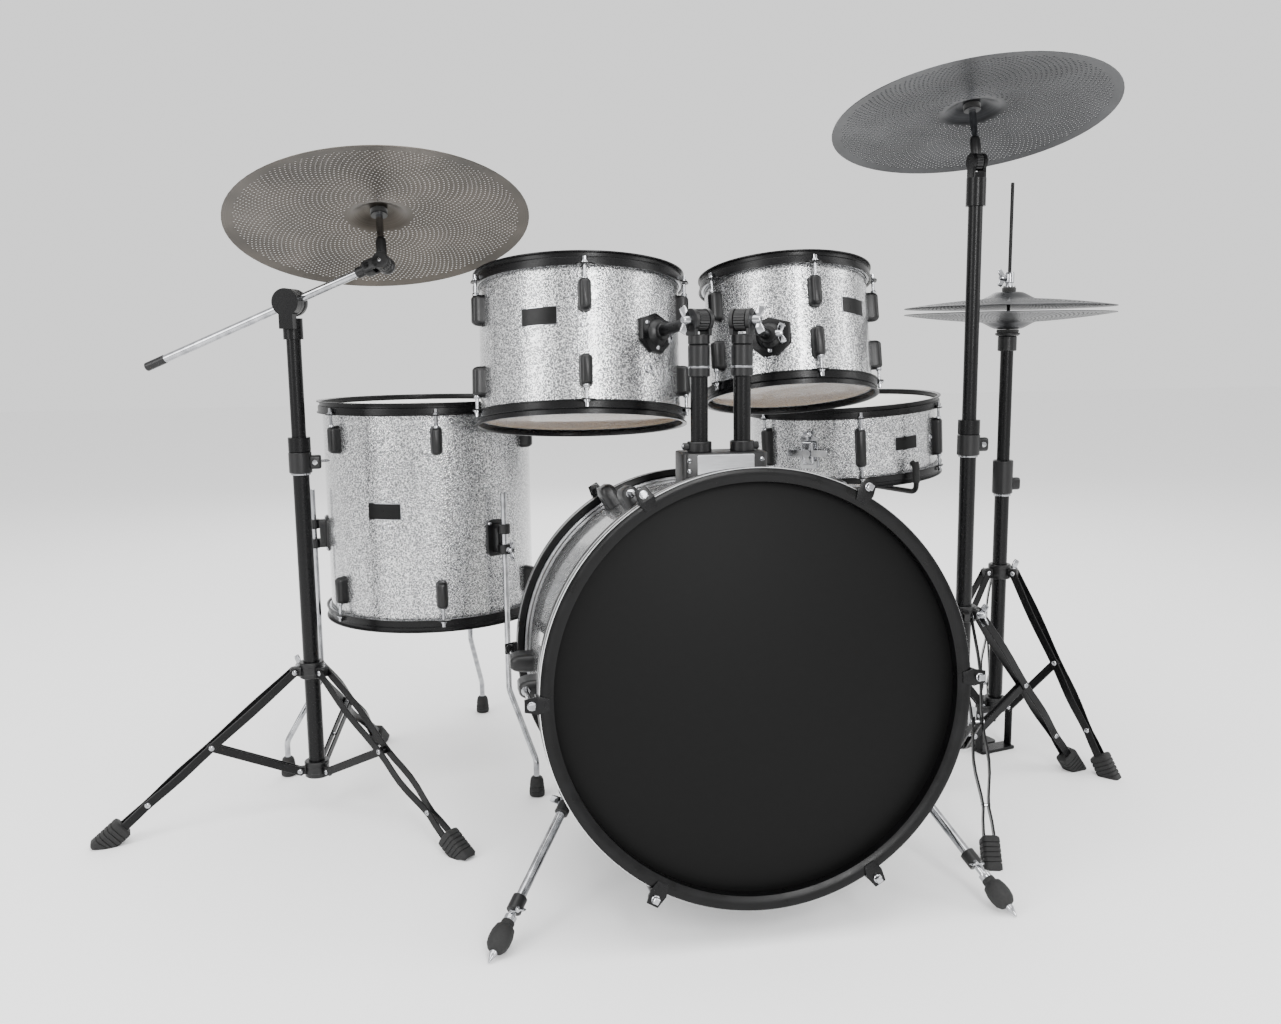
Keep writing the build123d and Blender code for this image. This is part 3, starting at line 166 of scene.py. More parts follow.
finishes = {
    # PVC drum wrap over crinkled silver foil: bright worm lines on grey under a glossy clear sheet
    "sparkleWrap": newFinish("sparkleWrap", {"Metallic": 0.8, "Roughness": 0.24, "Coat Weight": 1.0,
                             "Coat Roughness": 0.06}, sparkleDetail),
    # Rotary-cut maple-faced ply inside the shells: tan with long grain, sealed but not glossy
    "maplePly": newFinish("maplePly", {"IOR": 1.5}, mapleDetail),
    # Baked powder coat on steel hoops and tubes: deep black with a faint orange-peel in highlights
    "powderCoat": newFinish("powderCoat",
                            {"Base Color": linear("#060607"), "IOR": 1.5, "Specular IOR Level": 0.2},
                            plainGrain(2.2, 0.05, (0.24, 0.36))),
    # Nylon and ABS mouldings: soft-edged black, a little greyer and duller than the coat
    "mouldedNylon": newFinish("mouldedNylon", {"IOR": 1.5, "Specular IOR Level": 0.36},
                              plainGrain(1.1, 0.04, (0.3, 0.44), stops=[(0.35, "#070708"), (0.7, "#0D0D0E")])),
    # EPDM rubber feet and pads: matt charcoal with a dusty mottle
    "rubber": newFinish("rubber", {"IOR": 1.5},
                        plainGrain(3.0, 0.1, (0.68, 0.86), stops=[(0.35, "#0B0B0B"), (0.75, "#171717")])),
    # Nickel-chrome plate: mid-grey mirror, slightly hazed by handling
    "chromePlate": newFinish("chromePlate", {"Metallic": 1.0},
                             plainGrain(14.0, 0.01, (0.05, 0.14), stops=[(0.3, "#8C8D90"), (0.7, "#B9BABD")])),
    # Die-cast zinc with a brushed face: grey metal with fine level scratches
    "brushedZinc": newFinish("brushedZinc", {"Metallic": 1.0}, plainGrain(
        26.0, 0.05, (0.28, 0.42), (1, 30, 60), [(0.3, "#9FA0A2"), (0.7, "#C6C7C9")])),
    # Polyester film with a matt black coat: the bass drum's front
    "blackFilm": newFinish("blackFilm", {"IOR": 1.57, "Specular IOR Level": 0.1}, plainGrain(
        0.8, 0.04, (0.5, 0.58), stops=[(0.3, "#030303"), (0.7, "#060606")])),
    # Sprayed white coat on a playing head: chalky with a fine tooth
    "coatedFilm": newFinish("coatedFilm", {"IOR": 1.57}, plainGrain(
        0.9, 0.06, (0.5, 0.66), stops=[(0.3, "#E2E2DF"), (0.7, "#F2F2EF")])),
    # Clear polyester film underneath the toms: hardly hides the inside, with a hard gloss
    "clearFilm": newFinish("clearFilm", {"Base Color": linear("#F4F6F7"), "Alpha": 0.3, "IOR": 1.57},
                           plainGrain(60.0, 0.05, (0.06, 0.14))),
    # Extruded aluminium ring that holds a head
    "ringAluminium": newFinish("ringAluminium", {"Metallic": 1.0}, plainGrain(
        8.0, 0.03, (0.32, 0.44), stops=[(0.3, "#A8A9AB"), (0.7, "#C3C4C6")])),
    # Lacquered maple bass drum hoops, black with a bright inlay let into them; the same white finish also
    # paints a highlight on the front hoop's outer chamfer
    "hoopLacquer": newFinish("hoopLacquer", {"IOR": 1.5, "Specular IOR Level": 0.18}, plainGrain(
        18.0, 0.03, (0.26, 0.38), stops=[(0.3, "#050505"), (0.7, "#080809")])),
    "hoopInlay": newFinish("hoopInlay", {"Metallic": 0.55, "Coat Weight": 0.8, "Coat Roughness": 0.08},
                           plainGrain(2.0, 0.04, (0.28, 0.4), stops=[(0.3, "#D3D4D6"), (0.7, "#FAFAFA")])),
    # Etched and darkened steel of low-volume cymbals: gunmetal with lathe rings
    "darkSteel": newFinish("darkSteel", {"Metallic": 0.85}, cymbalDetail(False)),
    "warmSteel": newFinish("warmSteel", {"Metallic": 0.85}, cymbalDetail(True)),
    # Pressed wool felt: matt, with loose fibres that lift the edge
    "woolFelt": newFinish("woolFelt", {"Sheen Weight": 0.4, "Sheen Roughness": 0.5},
                          plainGrain(0.8, 0.25, (0.86, 0.98), stops=[(0.35, "#151515"), (0.75, "#2B2B2A")])),
}
print("finishes", len(finishes))


# Shapes, as lists of corners and faces.
# a frame from its origin and its three directions
def axes(origin, x, y, z):
    return Matrix(((x[0], y[0], z[0], origin[0]), (x[1], y[1], z[1], origin[1]),
                   (x[2], y[2], z[2], origin[2]), (0, 0, 0, 1)))


# a frame at a point with Z along a direction, and X as near as possible to the one given
def along(origin, z, x=None):
    z = Vector(z).normalized()
    if x is None:
        x = Vector((0, 1, 0)).cross(z) if abs(z.y) < 0.9 else (1, 0, 0)
    x = Vector(x)
    x = (x - z * x.dot(z)).normalized()
    return axes(origin, x, z.cross(x), z)


# a frame on a drum's wall that faces outwards, with Y along the drum's axis
def wallFrame(angle, radius, height=0.0):
    turn = math.radians(angle)
    out = Vector((math.sin(turn), -math.cos(turn), 0))
    return axes(out * radius + Vector((0, 0, height)), Vector((math.cos(turn), math.sin(turn), 0)),
                upright, out)


# a turned piece: profile points are (radius, height), and a radius of 0 closes on the axis
def lathe(profile, finish, place=Matrix(), sides=96, closed=True, warp=None):
    verts, rings = [], []
    for i, (r, z) in enumerate(profile):
        ring = []
        count = 1 if r < 1e-6 else sides
        for j in range(count):
            turn = 2 * math.pi * j / sides
            rr, zz = warp(turn, r, z) if warp else (r, z)
            ring.append(len(verts))
            verts.append(place @ Vector((rr * math.sin(turn), -rr * math.cos(turn), zz)))
        rings.append(ring * (sides if count == 1 else 1))
    faces, kinds = [], []
    steps = len(profile) if closed else len(profile) - 1
    for i in range(steps):
        a, b = rings[i], rings[(i + 1) % len(profile)]
        kind = finish if isinstance(finish, str) else finish[i]
        for j in range(sides):
            k = (j + 1) % sides
            face = [a[j], a[k], b[k], b[j]]
            face = [v for n, v in enumerate(face) if v not in face[:n]]
            if len(face) > 2:
                faces.append(face)
                kinds.append(kind)
    return verts, faces, kinds


# a rounded rectangle carried up through levels of (height, inset)
def slab(width, height, corner, levels, finish, place=Matrix(), steps=5):
    verts, faces = [], []
    count = 4 * (steps + 1)
    for z, inset in levels:
        w, h = width / 2 - inset, height / 2 - inset
        c = max(min(corner, w, h) - inset * 0.5, 0.15)
        for q, (sx, sy) in enumerate(((1, 1), (-1, 1), (-1, -1), (1, -1))):
            for s in range(steps + 1):
                turn = math.pi / 2 * (q + s / steps)
                verts.append(place @ Vector((sx * (w - c) + c * math.cos(turn),
                                             sy * (h - c) + c * math.sin(turn), z)))
    for n in range(len(levels) - 1):
        for j in range(count):
            k = (j + 1) % count
            faces.append([n * count + j, n * count + k, (n + 1) * count + k, (n + 1) * count + j])
    faces.append(list(range(count))[::-1])
    faces.append([(len(levels) - 1) * count + j for j in range(count)])
    return verts, faces, [finish] * len(faces)


def box(width, height, depth, finish, place=Matrix(), corner=1.5, soft=0.6):
    return slab(width, height, corner, [(0, soft), (soft, 0), (depth - soft, 0), (depth, soft)], finish,
                place)


# a flat outline carried along points without twisting
def sweep(points, section, finish, firstX=None, scales=None):
    points = [Vector(p) for p in points]
    verts, faces = [], []
    count = len(section)
    x = None
    for i, p in enumerate(points):
        ahead = points[min(i + 1, len(points) - 1)] - points[max(i - 1, 0)]
        t = ahead.normalized()
        if x is None:
            x = Vector(firstX) if firstX is not None else (
                Vector((0, 1, 0)).cross(t) if abs(t.y) < 0.9 else Vector((1, 0, 0)))
        x = (x - t * x.dot(t)).normalized()
        y = t.cross(x)
        size = scales[i] if scales else 1.0
        verts += [p + x * (u * size) + y * (v * size) for u, v in section]
    for i in range(len(points) - 1):
        for j in range(count):
            k = (j + 1) % count
            faces.append([i * count + j, i * count + k, (i + 1) * count + k, (i + 1) * count + j])
    faces.append(list(range(count))[::-1])
    faces.append([(len(points) - 1) * count + j for j in range(count)])
    return verts, faces, [finish] * len(faces)


def circle(radius, sides=20):
    return [(radius * math.cos(2 * math.pi * j / sides), radius * math.sin(2 * math.pi * j / sides))
            for j in range(sides)]


# a path whose corners are bent to a radius
def rounded(points, radius, steps=8):
    points = [Vector(p) for p in points]
    path = [points[0]]
    for i in range(1, len(points) - 1):
        a, b, c = points[i - 1:i + 2]
        u, v = (a - b).normalized(), (c - b).normalized()
        half = u.angle(v) / 2
        reach = min(radius / math.tan(half), (a - b).length * 0.49, (c - b).length * 0.49)
        for s in range(steps + 1):
            t = s / steps
            path.append((b + u * reach) * (1 - t) ** 2 + b * (2 * t * (1 - t)) + (b + v * reach) * t * t)
    path.append(points[-1])
    return path


def bar(start, end, radius, finish, sides=24, soft=0.6):
    start, end = Vector(start), Vector(end)
    length = (end - start).length
    soft = min(soft, radius * 0.4, length * 0.3)
    profile = [(0, 0), (radius - soft, 0), (radius, soft), (radius, length - soft), (radius - soft, length),
               (0, length)]
    return lathe(profile, finish, along(start, end - start), sides, closed=False)


def tube(start, end, radius, bore, finish, sides=48, soft=0.5):
    start, end = Vector(start), Vector(end)
    length = (end - start).length
    profile = [(bore, 0), (radius - soft, 0), (radius, soft), (radius, length - soft),
               (radius - soft, length), (bore, length)]
    return lathe(profile, finish, along(start, end - start), sides)


# a wing screw with its seat at spot and its wings towards out
def wingScrew(spot, out, finish="chromePlate", size=1.0, shank=8.0):
    place = along(spot, out)
    pieces = [lathe([(0, -shank), (2.6 * size, -shank), (2.6 * size, 0), (5.4 * size, 0),
                     (5.4 * size, 2 * size), (4.4 * size, 9 * size), (3.2 * size, 10.5 * size),
                     (0, 10.5 * size)], finish, place, 24, closed=False)]
    for side in (-1, 1):
        lean = place @ Matrix.Translation((side * 3.0 * size, 0, 5.0 * size)) @ Matrix.Rotation(
            side * math.radians(62), 4, "Y")
        pieces.append(slab(9.5 * size, 3.2 * size, 1.5 * size,
                           [(0, 0.3), (1.0, 0), (9 * size, 0), (12.5 * size, 1.0)], finish, lean, 4))
    return pieces


def screwHead(spot, out, radius, finish="chromePlate", rise=2.2):
    return lathe([(0, -1.5), (radius, -1.5), (radius, rise * 0.35), (radius * 0.8, rise * 0.85),
                  (radius * 0.35, rise), (radius * 0.3, rise * 0.45), (0, rise * 0.45)],
                 finish, along(spot, out), 20, closed=False)


pieceCount = 0


# one Blender piece from parts that are each (corners, faces, finish of each face)
def piece(name, parts, body, nodes=(), sharp=38.0):
    verts, faces, kinds = [], [], []
    for part in parts:
        shift = len(verts)
        verts += [tuple(Vector(v) * 0.001 + kitShift) for v in part[0]]
        faces += [[v + shift for v in face] for face in part[1]]
        kinds += part[2]
    mesh = bpy.data.meshes.new(name)
    mesh.from_pydata(verts, [], faces)
    used = sorted(set(kinds), key=kinds.index)
    for kind in used:
        mesh.materials.append(finishes[kind])
    order = {kind: i for i, kind in enumerate(used)}
    mesh.polygons.foreach_set("material_index", [order[k] for k in kinds])
    return placeMesh(name, mesh, body, nodes, sharp)


def placeMesh(name, mesh, body, nodes, sharp, turnOut=True):
    global pieceCount
    if turnOut:
        work = bmesh.new()
        work.from_mesh(mesh)
        bmesh.ops.recalc_face_normals(work, faces=work.faces)
        work.to_mesh(mesh)
        work.free()
    mesh.polygons.foreach_set("use_smooth", [True] * len(mesh.polygons))
    mesh.set_sharp_from_angle(angle=math.radians(sharp))
    thing = bpy.data.objects.new(name, mesh)
    bpy.context.scene.collection.objects.link(thing)
    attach(thing, body)
    if nodes:
        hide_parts(*nodes)
    pieceCount += 1
    return thing


# Geometry node trees.
def newTree(name, sockets):
    tree = bpy.data.node_groups.new(name, "GeometryNodeTree")
    tree.interface.new_socket(name="Geometry", in_out="OUTPUT", socket_type="NodeSocketGeometry")
    tree.interface.new_socket(name="Geometry", in_out="INPUT", socket_type="NodeSocketGeometry")
    for label, kind in sockets:
        tree.interface.new_socket(name=label, in_out="INPUT", socket_type="NodeSocket" + kind)
    start = addNode(tree, "NodeGroupInput")
    end = addNode(tree, "NodeGroupOutput")
    return tree, start.outputs, end


# runs a tree on a mesh and gives a plain mesh back
def runTree(tree, source, values):
    thing = bpy.data.objects.new("work", source)
    bpy.context.scene.collection.objects.link(thing)
    modifier = thing.modifiers.new("work", "NODES")
    modifier.node_group = tree
    for item in tree.interface.items_tree:
        if item.in_out == "INPUT" and item.name in values:
            modifier[item.identifier] = values[item.name]
    bpy.context.view_layer.update()
    graph = bpy.context.evaluated_depsgraph_get()
    mesh = bpy.data.meshes.new_from_object(thing.evaluated_get(graph), depsgraph=graph)
    thing.modifiers.remove(modifier)
    bpy.data.objects.remove(thing)
    return mesh


def finishTree(tree, end, geometry, material):
    real = addNode(tree, "GeometryNodeRealizeInstances", {"Geometry": geometry})
    done = addNode(tree, "GeometryNodeSetMaterial", {"Geometry": real.outputs["Geometry"],
                                                     "Material": material})
    tree.links.new(done.outputs["Geometry"], end.inputs[0])


# copies one lug, rod or claw round a drum, and mirrors it to the other end if asked
def ringTree():
    tree, given, end = newTree("aroundTheDrum", [("Count", "Int"), ("First Angle", "Float"),
                                                 ("Both Ends", "Bool"), ("Finish", "Material")])
    flipped = addNode(tree, "GeometryNodeTransform", {"Geometry": given["Geometry"],
                                                      "Rotation": (0, math.pi, 0)})
    join = addNode(tree, "GeometryNodeJoinGeometry")
    tree.links.new(given["Geometry"], join.inputs[0])
    tree.links.new(flipped.outputs["Geometry"], join.inputs[0])
    chosen = addNode(tree, "GeometryNodeSwitch", {"Switch": given["Both Ends"], "False": given["Geometry"],
                                                  "True": join.outputs["Geometry"]}, input_type="GEOMETRY")
    points = addNode(tree, "GeometryNodePoints", {"Count": given["Count"], "Position": (0, 0, 0)})
    index = addNode(tree, "GeometryNodeInputIndex")
    share = addNode(tree, "ShaderNodeMath", {0: index.outputs[0], 1: given["Count"]}, operation="DIVIDE")
    turn = addNode(tree, "ShaderNodeMath", {0: share.outputs[0], 1: 2 * math.pi, 2: given["First Angle"]},
                   operation="MULTIPLY_ADD")
    spin = addNode(tree, "ShaderNodeCombineXYZ", {"Z": turn.outputs[0]})
    copies = addNode(tree, "GeometryNodeInstanceOnPoints", {"Points": points.outputs[0],
                                                            "Instance": chosen.outputs[0],
                                                            "Rotation": spin.outputs[0]})
    finishTree(tree, end, copies.outputs[0], given["Finish"])
    return tree


aroundTheDrum = ringTree()


# a piece for each kind of hardware that repeats round a drum
def aroundDrum(name, parts, finish, count, first, both, place, body, nodes=(), sharp=38.0):
    verts, faces = [], []
    for part in parts:
        shift = len(verts)
        verts += [tuple(v) for v in part[0]]
        faces += [[v + shift for v in face] for face in part[1]]
    unit = bpy.data.meshes.new(name + "Unit")
    unit.from_pydata(verts, [], faces)
    mesh = runTree(aroundTheDrum, unit, {"Count": count, "First Angle": math.radians(first),
                                         "Both Ends": both, "Finish": finishes[finish]})
    mesh.transform(Matrix.Translation(kitShift) @ Matrix.Scale(0.001, 4) @ place)
    return placeMesh(name, mesh, body, nodes, sharp)


# cuts a cymbal with holes set out like sunflower seeds
def perforationTree():
    tree, given, end = newTree("sunflowerHoles", [
        ("Holes", "Int"), ("Inner Radius", "Float"), ("Pitch", "Float"), ("Hole Radius", "Float"),
        ("Finish", "Material")])
    points = addNode(tree, "GeometryNodePoints", {"Count": given["Holes"]})
    index = addNode(tree, "GeometryNodeInputIndex")
    # each turn of the golden angle adds one pitch squared of area, so the holes stay evenly spread
    squareInner = addNode(tree, "ShaderNodeMath", {0: given["Inner Radius"], 1: 2.0}, operation="POWER")
    squarePitch = addNode(tree, "ShaderNodeMath", {0: given["Pitch"], 1: 2.0}, operation="POWER")
    perHole = addNode(tree, "ShaderNodeMath", {0: squarePitch.outputs[0], 1: 1 / math.pi},
                      operation="MULTIPLY")
    square = addNode(tree, "ShaderNodeMath", {0: index.outputs[0], 1: perHole.outputs[0],
                                              2: squareInner.outputs[0]}, operation="MULTIPLY_ADD")
    radius = addNode(tree, "ShaderNodeMath", {0: square.outputs[0]}, operation="SQRT")
    turn = addNode(tree, "ShaderNodeMath", {0: index.outputs[0], 1: math.pi * (3 - math.sqrt(5))},
                   operation="MULTIPLY")
    cosine = addNode(tree, "ShaderNodeMath", {0: turn.outputs[0]}, operation="COSINE")
    sine = addNode(tree, "ShaderNodeMath", {0: turn.outputs[0]}, operation="SINE")
    x = addNode(tree, "ShaderNodeMath", {0: radius.outputs[0], 1: cosine.outputs[0]}, operation="MULTIPLY")
    y = addNode(tree, "ShaderNodeMath", {0: radius.outputs[0], 1: sine.outputs[0]}, operation="MULTIPLY")
    spot = addNode(tree, "ShaderNodeCombineXYZ", {"X": x.outputs[0], "Y": y.outputs[0]})
    spread = addNode(tree, "GeometryNodeSetPosition", {"Geometry": points.outputs[0],
                                                       "Position": spot.outputs[0]})
    punch = addNode(tree, "GeometryNodeMeshCylinder",
                    {"Vertices": 6, "Radius": given["Hole Radius"], "Depth": 120.0}, fill_type="NGON")
    copies = addNode(tree, "GeometryNodeInstanceOnPoints",
                     {"Points": spread.outputs[0], "Instance": punch.outputs["Mesh"]})
    real = addNode(tree, "GeometryNodeRealizeInstances", {"Geometry": copies.outputs[0]})
    cut = addNode(tree, "GeometryNodeMeshBoolean",
                  {"Mesh 1": given["Geometry"], "Mesh 2": real.outputs[0]}, operation="DIFFERENCE")
    cut.solver = "MANIFOLD"
    finishTree(tree, end, cut.outputs["Mesh"], given["Finish"])
    return tree


# a row of coiled snare wires
def wireTree():
    tree, given, end = newTree("snareCoils", [("Wires", "Int"), ("Spacing", "Float"), ("Length", "Float"),
                                              ("Coil Radius", "Float"), ("Turns", "Float"),
                                              ("Wire Radius", "Float"), ("Finish", "Material")])
    coil = addNode(tree, "GeometryNodeCurveSpiral", {
        "Resolution": 7, "Rotations": given["Turns"], "Start Radius": given["Coil Radius"],
        "End Radius": given["Coil Radius"], "Height": given["Length"]})
    section = addNode(tree, "GeometryNodeCurvePrimitiveCircle",
                      {"Resolution": 3, "Radius": given["Wire Radius"]})
    wire = addNode(tree, "GeometryNodeCurveToMesh", {"Curve": coil.outputs[0],
                                                     "Profile Curve": section.outputs[0],
                                                     "Fill Caps": True})
    gap = addNode(tree, "ShaderNodeCombineXYZ", {"X": given["Spacing"]})
    line = addNode(tree, "GeometryNodeMeshLine", {"Count": given["Wires"], "Offset": gap.outputs[0]})
    copies = addNode(tree, "GeometryNodeInstanceOnPoints", {"Points": line.outputs[0],
                                                            "Instance": wire.outputs[0]})
    finishTree(tree, end, copies.outputs[0], given["Finish"])
    return tree


# Drums with flanged hoops.
def drumFrame(centre, axis):
    up = Vector(axis).normalized()
    x = Vector((0, 1, 0)).cross(up).normalized()
    return axes(Vector(centre), x, up.cross(x), up)


shellLook = {"bevel": 3.0, "headSides": 144, "shellSides": 192, "hoopSides": 288, "sheetHalf": 0.95}


def headParts(radius, depth, top, bottom):
    parts = []
    for side, film in ((1, top), (-1, bottom)):
        edge = depth / 2
        skin = [(0, edge + 0.9), (radius - 1.5, edge + 0.9), (radius + 0.9, edge + 0.1),
                (radius + 2.0, edge - 2.0), (radius + 1.3, edge - 2.0), (radius + 0.4, edge - 0.3),
                (radius - 1.8, edge + 0.3), (0, edge + 0.3)]
        ring = [(radius + 1.0, edge - 1.0), (radius + 4.6, edge - 1.0), (radius + 4.9, edge - 1.6),
                (radius + 4.9, edge - 7.4), (radius + 4.6, edge - 8.0), (radius + 1.0, edge - 8.0)]
        parts.append(lathe([(r, side * z) for r, z in skin], film, sides=shellLook["headSides"],
                           closed=False))
        parts.append(lathe([(r, side * z) for r, z in ring], "ringAluminium", sides=shellLook["headSides"]))
    return parts


def shellParts(radius, depth, wall):
    edge = depth / 2
    bevel = shellLook["bevel"]
    profile = [(radius, -edge + bevel), (radius, edge - bevel), (radius - 0.8, edge - bevel + 0.6),
               (radius - bevel, edge), (radius - wall, edge - bevel), (radius - wall, -edge + bevel),
               (radius - bevel, -edge), (radius - 0.8, -edge + bevel - 0.6)]
    kinds = ["sparkleWrap"] + ["maplePly"] * 7
    return [lathe(profile, kinds, sides=shellLook["shellSides"])]


# both faces of a bent sheet from its middle line
def sheetOutline(points, half):
    path = rounded([(r, 0, z) for r, z in points], 1.9, 4)
    left, right = [], []
    for i, p in enumerate(path):
        t = (path[min(i + 1, len(path) - 1)] - path[max(i - 1, 0)]).normalized()
        n = Vector((-t.z, 0, t.x))
        left.append(((p + n * half).x, (p + n * half).z))
        right.append(((p - n * half).x, (p - n * half).z))
    return left + right[::-1]


# rolled steel hoops whose lower flange comes out as an ear at each rod
def hoopParts(radius, depth, angles):
    edge = depth / 2
    low = edge - 9.0
    points = [(radius + 9.0, low), (radius + 6.1, low), (radius + 6.1, edge + 1.9),
              (radius + 3.5, edge + 1.9), (radius + 3.5, edge + 9.6), (radius + 9.0, edge + 9.6)]
    outline = sheetOutline(points, shellLook["sheetHalf"])
    turns = [math.radians(a) for a in angles]

    def ears(turn, r, z):
        if r > radius + 7.4 and z < low + 2.5:
            near = min(abs((turn - t + math.pi) % (2 * math.pi) - math.pi) for t in turns)
            away = near * radius
            r += 8.3 * (1 - min(1.0, max(0.0, (away - 5.0) / 7.0)) ** 2) if away < 12.0 else 0.0
        return r, z
    top = lathe(outline, "powderCoat", sides=shellLook["hoopSides"], warp=ears)
    flip = Matrix.Diagonal((1, 1, -1, 1))
    return [top, ([flip @ v for v in top[0]], top[1], top[2])]


lugLook = {"width": 18.0, "height": 46.0, "depth": 17.0, "inset": 28.0, "rodOut": 11.0, "rod": 2.5}


# one domed lug on its gasket, at angle 0
def lugUnit(radius, depth, length=None):
    edge = depth / 2
    near = edge - lugLook["inset"]
    tall = length or lugLook["height"]
    centre = 0.0 if length else near - tall / 2
    deep = lugLook["depth"] + 1.5
    levels = [(0, 0), (deep * 0.42, 0), (deep * 0.66, 0.5), (deep * 0.82, 1.6), (deep * 0.93, 3.2),
              (deep, 5.6)]
    body = [slab(lugLook["width"], tall, 7.0, levels, "mouldedNylon", wallFrame(0, radius - 1.5, centre),
                 6), slab(lugLook["width"] + 1.4, tall + 1.4, 7.4, [(0, 0), (2.1, 0), (2.6, 0.5)],
                          "mouldedNylon", wallFrame(0, radius - 1.5, centre), 6)]
    return body


# one tension rod with its swivel nut, washer and square head, at angle 0
def rodUnit(radius, depth):
    edge = depth / 2
    near, seat = edge - lugLook["inset"], edge - 8.05
    at = Matrix.Translation(wallFrame(0, radius + lugLook["rodOut"]).translation)
    r = lugLook["rod"]
    return [lathe([(0, near - 2), (4.6, near - 2), (4.6, near + 1.6), (3.9, near + 2.6), (r, near + 2.6),
                   (r, seat - 0.1), (6.2, seat - 0.1), (6.2, seat + 1.1), (4.6, seat + 1.5),
                   (4.6, seat + 2.6), (3.6, seat + 3.2), (3.6, seat + 4.0), (0, seat + 4.0)], "chromePlate",
                  at, 20, closed=False), slab(5.6, 5.6, 0.8,
                                              [(seat + 3.6, 0), (seat + 9.2, 0), (seat + 9.8, 0.7)],
                                              "chromePlate", at, 2)]


# a blank plate curved to the shell, on a thin bright edge
def badge(angle, radius, height, width, tall):
    parts = []
    steps = 10
    for low, high, w, h, kind in ((-0.3, 1.0, width, tall, "hoopLacquer"),
                                  (-0.3, 0.7, width + 2.2, tall + 2.2, "chromePlate")):
        verts, faces = [], []
        for i in range(steps + 1):
            turn = math.radians(angle) + (i / steps - 0.5) * w / radius
            for r, z in ((radius + low, -h / 2), (radius + high, -h / 2 + 0.4),
                         (radius + high, h / 2 - 0.4), (radius + low, h / 2)):
                verts.append(Vector((r * math.sin(turn), -r * math.cos(turn), z + height)))
        for i in range(steps):
            for j in range(4):
                k = (j + 1) % 4
                faces.append([i * 4 + j, i * 4 + k, (i + 1) * 4 + k, (i + 1) * 4 + j])
        faces += [[0, 1, 2, 3], [steps * 4 + j for j in (3, 2, 1, 0)]]
        parts.append((verts, faces, [kind] * len(faces)))
    return parts


def ventGrommet(angle, radius, height):
    return [lathe([(0, -0.5), (7.8, -0.5), (7.8, 0.6), (6.9, 1.5), (5.6, 1.7), (4.6, 1.2), (4.1, -0.2),
                   (0, -0.2)], ["chromePlate"] * 6 + ["mouldedNylon"], wallFrame(angle, radius, height), 32,
                  closed=False)]


def moved(parts, place):
    return [([place @ v for v in verts], faces, kinds) for verts, faces, kinds in parts]


drums = {
    "midTom": dict(node="mid_tom", body="mid_tom", radius=152.4, depth=208.0, wall=6.0,
                   centre=(-188, 364, 739), axis=(0.022, 0.175, 0.984), lugs=5, first=-4.0, vent=(33, -45),
                   badge=(-29, 26, 53, 25)),
    "highTom": dict(node="high_tom", body="high_tom", radius=127.0, depth=178.0, wall=6.0,
                    centre=(142, 364, 757), axis=(0.0, 0.225, 0.974), lugs=5, first=2.0, vent=(-31, -50),
                    badge=(35, 22, 50, 24)),
    "floorTom": dict(node="floor_tom", body="stands_and_shells", radius=177.8, depth=356.0, wall=6.0,
                     centre=(-426, 656, 472), axis=(0, 0, 1), lugs=6, first=5.0, vent=(-24, -14),
                     badge=(-24, 12, 56, 26)),
    "snare": dict(node="snare", body="snare", radius=177.8, depth=127.0, wall=6.0, centre=(376, 746, 566.5),
                  axis=(-0.06, -0.03, 1.0), lugs=6, first=-10.0, vent=(45, 0), badge=(20, 0, 50, 24)),
}
for name, drum in drums.items():
    place = drumFrame(drum["centre"], drum["axis"])
    radius, depth, body, node = drum["radius"], drum["depth"], drum["body"], drum["node"]
    angles = [drum["first"] + 360 * i / drum["lugs"] for i in range(drum["lugs"])]
    piece(name + "Shell", moved(shellParts(radius, depth, drum["wall"]), place), body, [node + "_shell"])
    dress = badge(drum["badge"][0], radius, *drum["badge"][1:]) + ventGrommet(drum["vent"][0], radius,
                                                                              drum["vent"][1])
    piece(name + "Badge", moved(dress, place), body)
    piece(name + "Heads", moved(headParts(radius, depth, "coatedFilm", "clearFilm"), place), body,
          [node + "_heads"])
    piece(name + "Hoops", moved(hoopParts(radius, depth, angles), place), body, [node + "_hoops"])
    longLug = 2 * (depth / 2 - lugLook["inset"]) if name == "snare" else None
    aroundDrum(name + "Lugs", lugUnit(radius, depth, longLug), "mouldedNylon", drum["lugs"], drum["first"],
               longLug is None, place, body, [node + "_tension"])
    aroundDrum(name + "Rods", rodUnit(radius, depth), "chromePlate", drum["lugs"], drum["first"], True,
               place, body)
print("flanged drums", len(drums))

# Bass drum.
bass = dict(radius=260.0, depth=406.0, wall=7.0, room=8.0, hoopWall=9.0, hoopDepth=40.0, proud=18.0,
            noseUp=6.1, place=(-21.0, -69.0), lugs=6, first=30.0)
hoopOuter = bass["radius"] + bass["room"] + bass["hoopWall"]
hoopInner = hoopOuter - bass["hoopWall"]
bassLength = bass["depth"] + 2 * bass["proud"]
noseUp = math.radians(bass["noseUp"])
bassHeight = hoopOuter * math.cos(noseUp) + bassLength / 2 * math.sin(noseUp)
bassCentre = Vector((bass["place"][0], bass["place"][1] + bassLength / 2 * math.cos(noseUp), bassHeight))
bassBack = Vector((0, math.cos(noseUp), -math.sin(noseUp)))
bassFrame = axes(bassCentre, Vector((1, 0, 0)), (-bassBack).cross(Vector((1, 0, 0))), -bassBack)
root = "stands_and_shells"
edge, front = bass["depth"] / 2, bassLength / 2
piece("bassShell", moved(shellParts(bass["radius"], bass["depth"], bass["wall"]), bassFrame), root,
      ["bass_drum_shell"])
piece("bassHeads", moved(headParts(bass["radius"], bass["depth"], "blackFilm", "coatedFilm"), bassFrame),
      root, ["bass_drum_heads"])

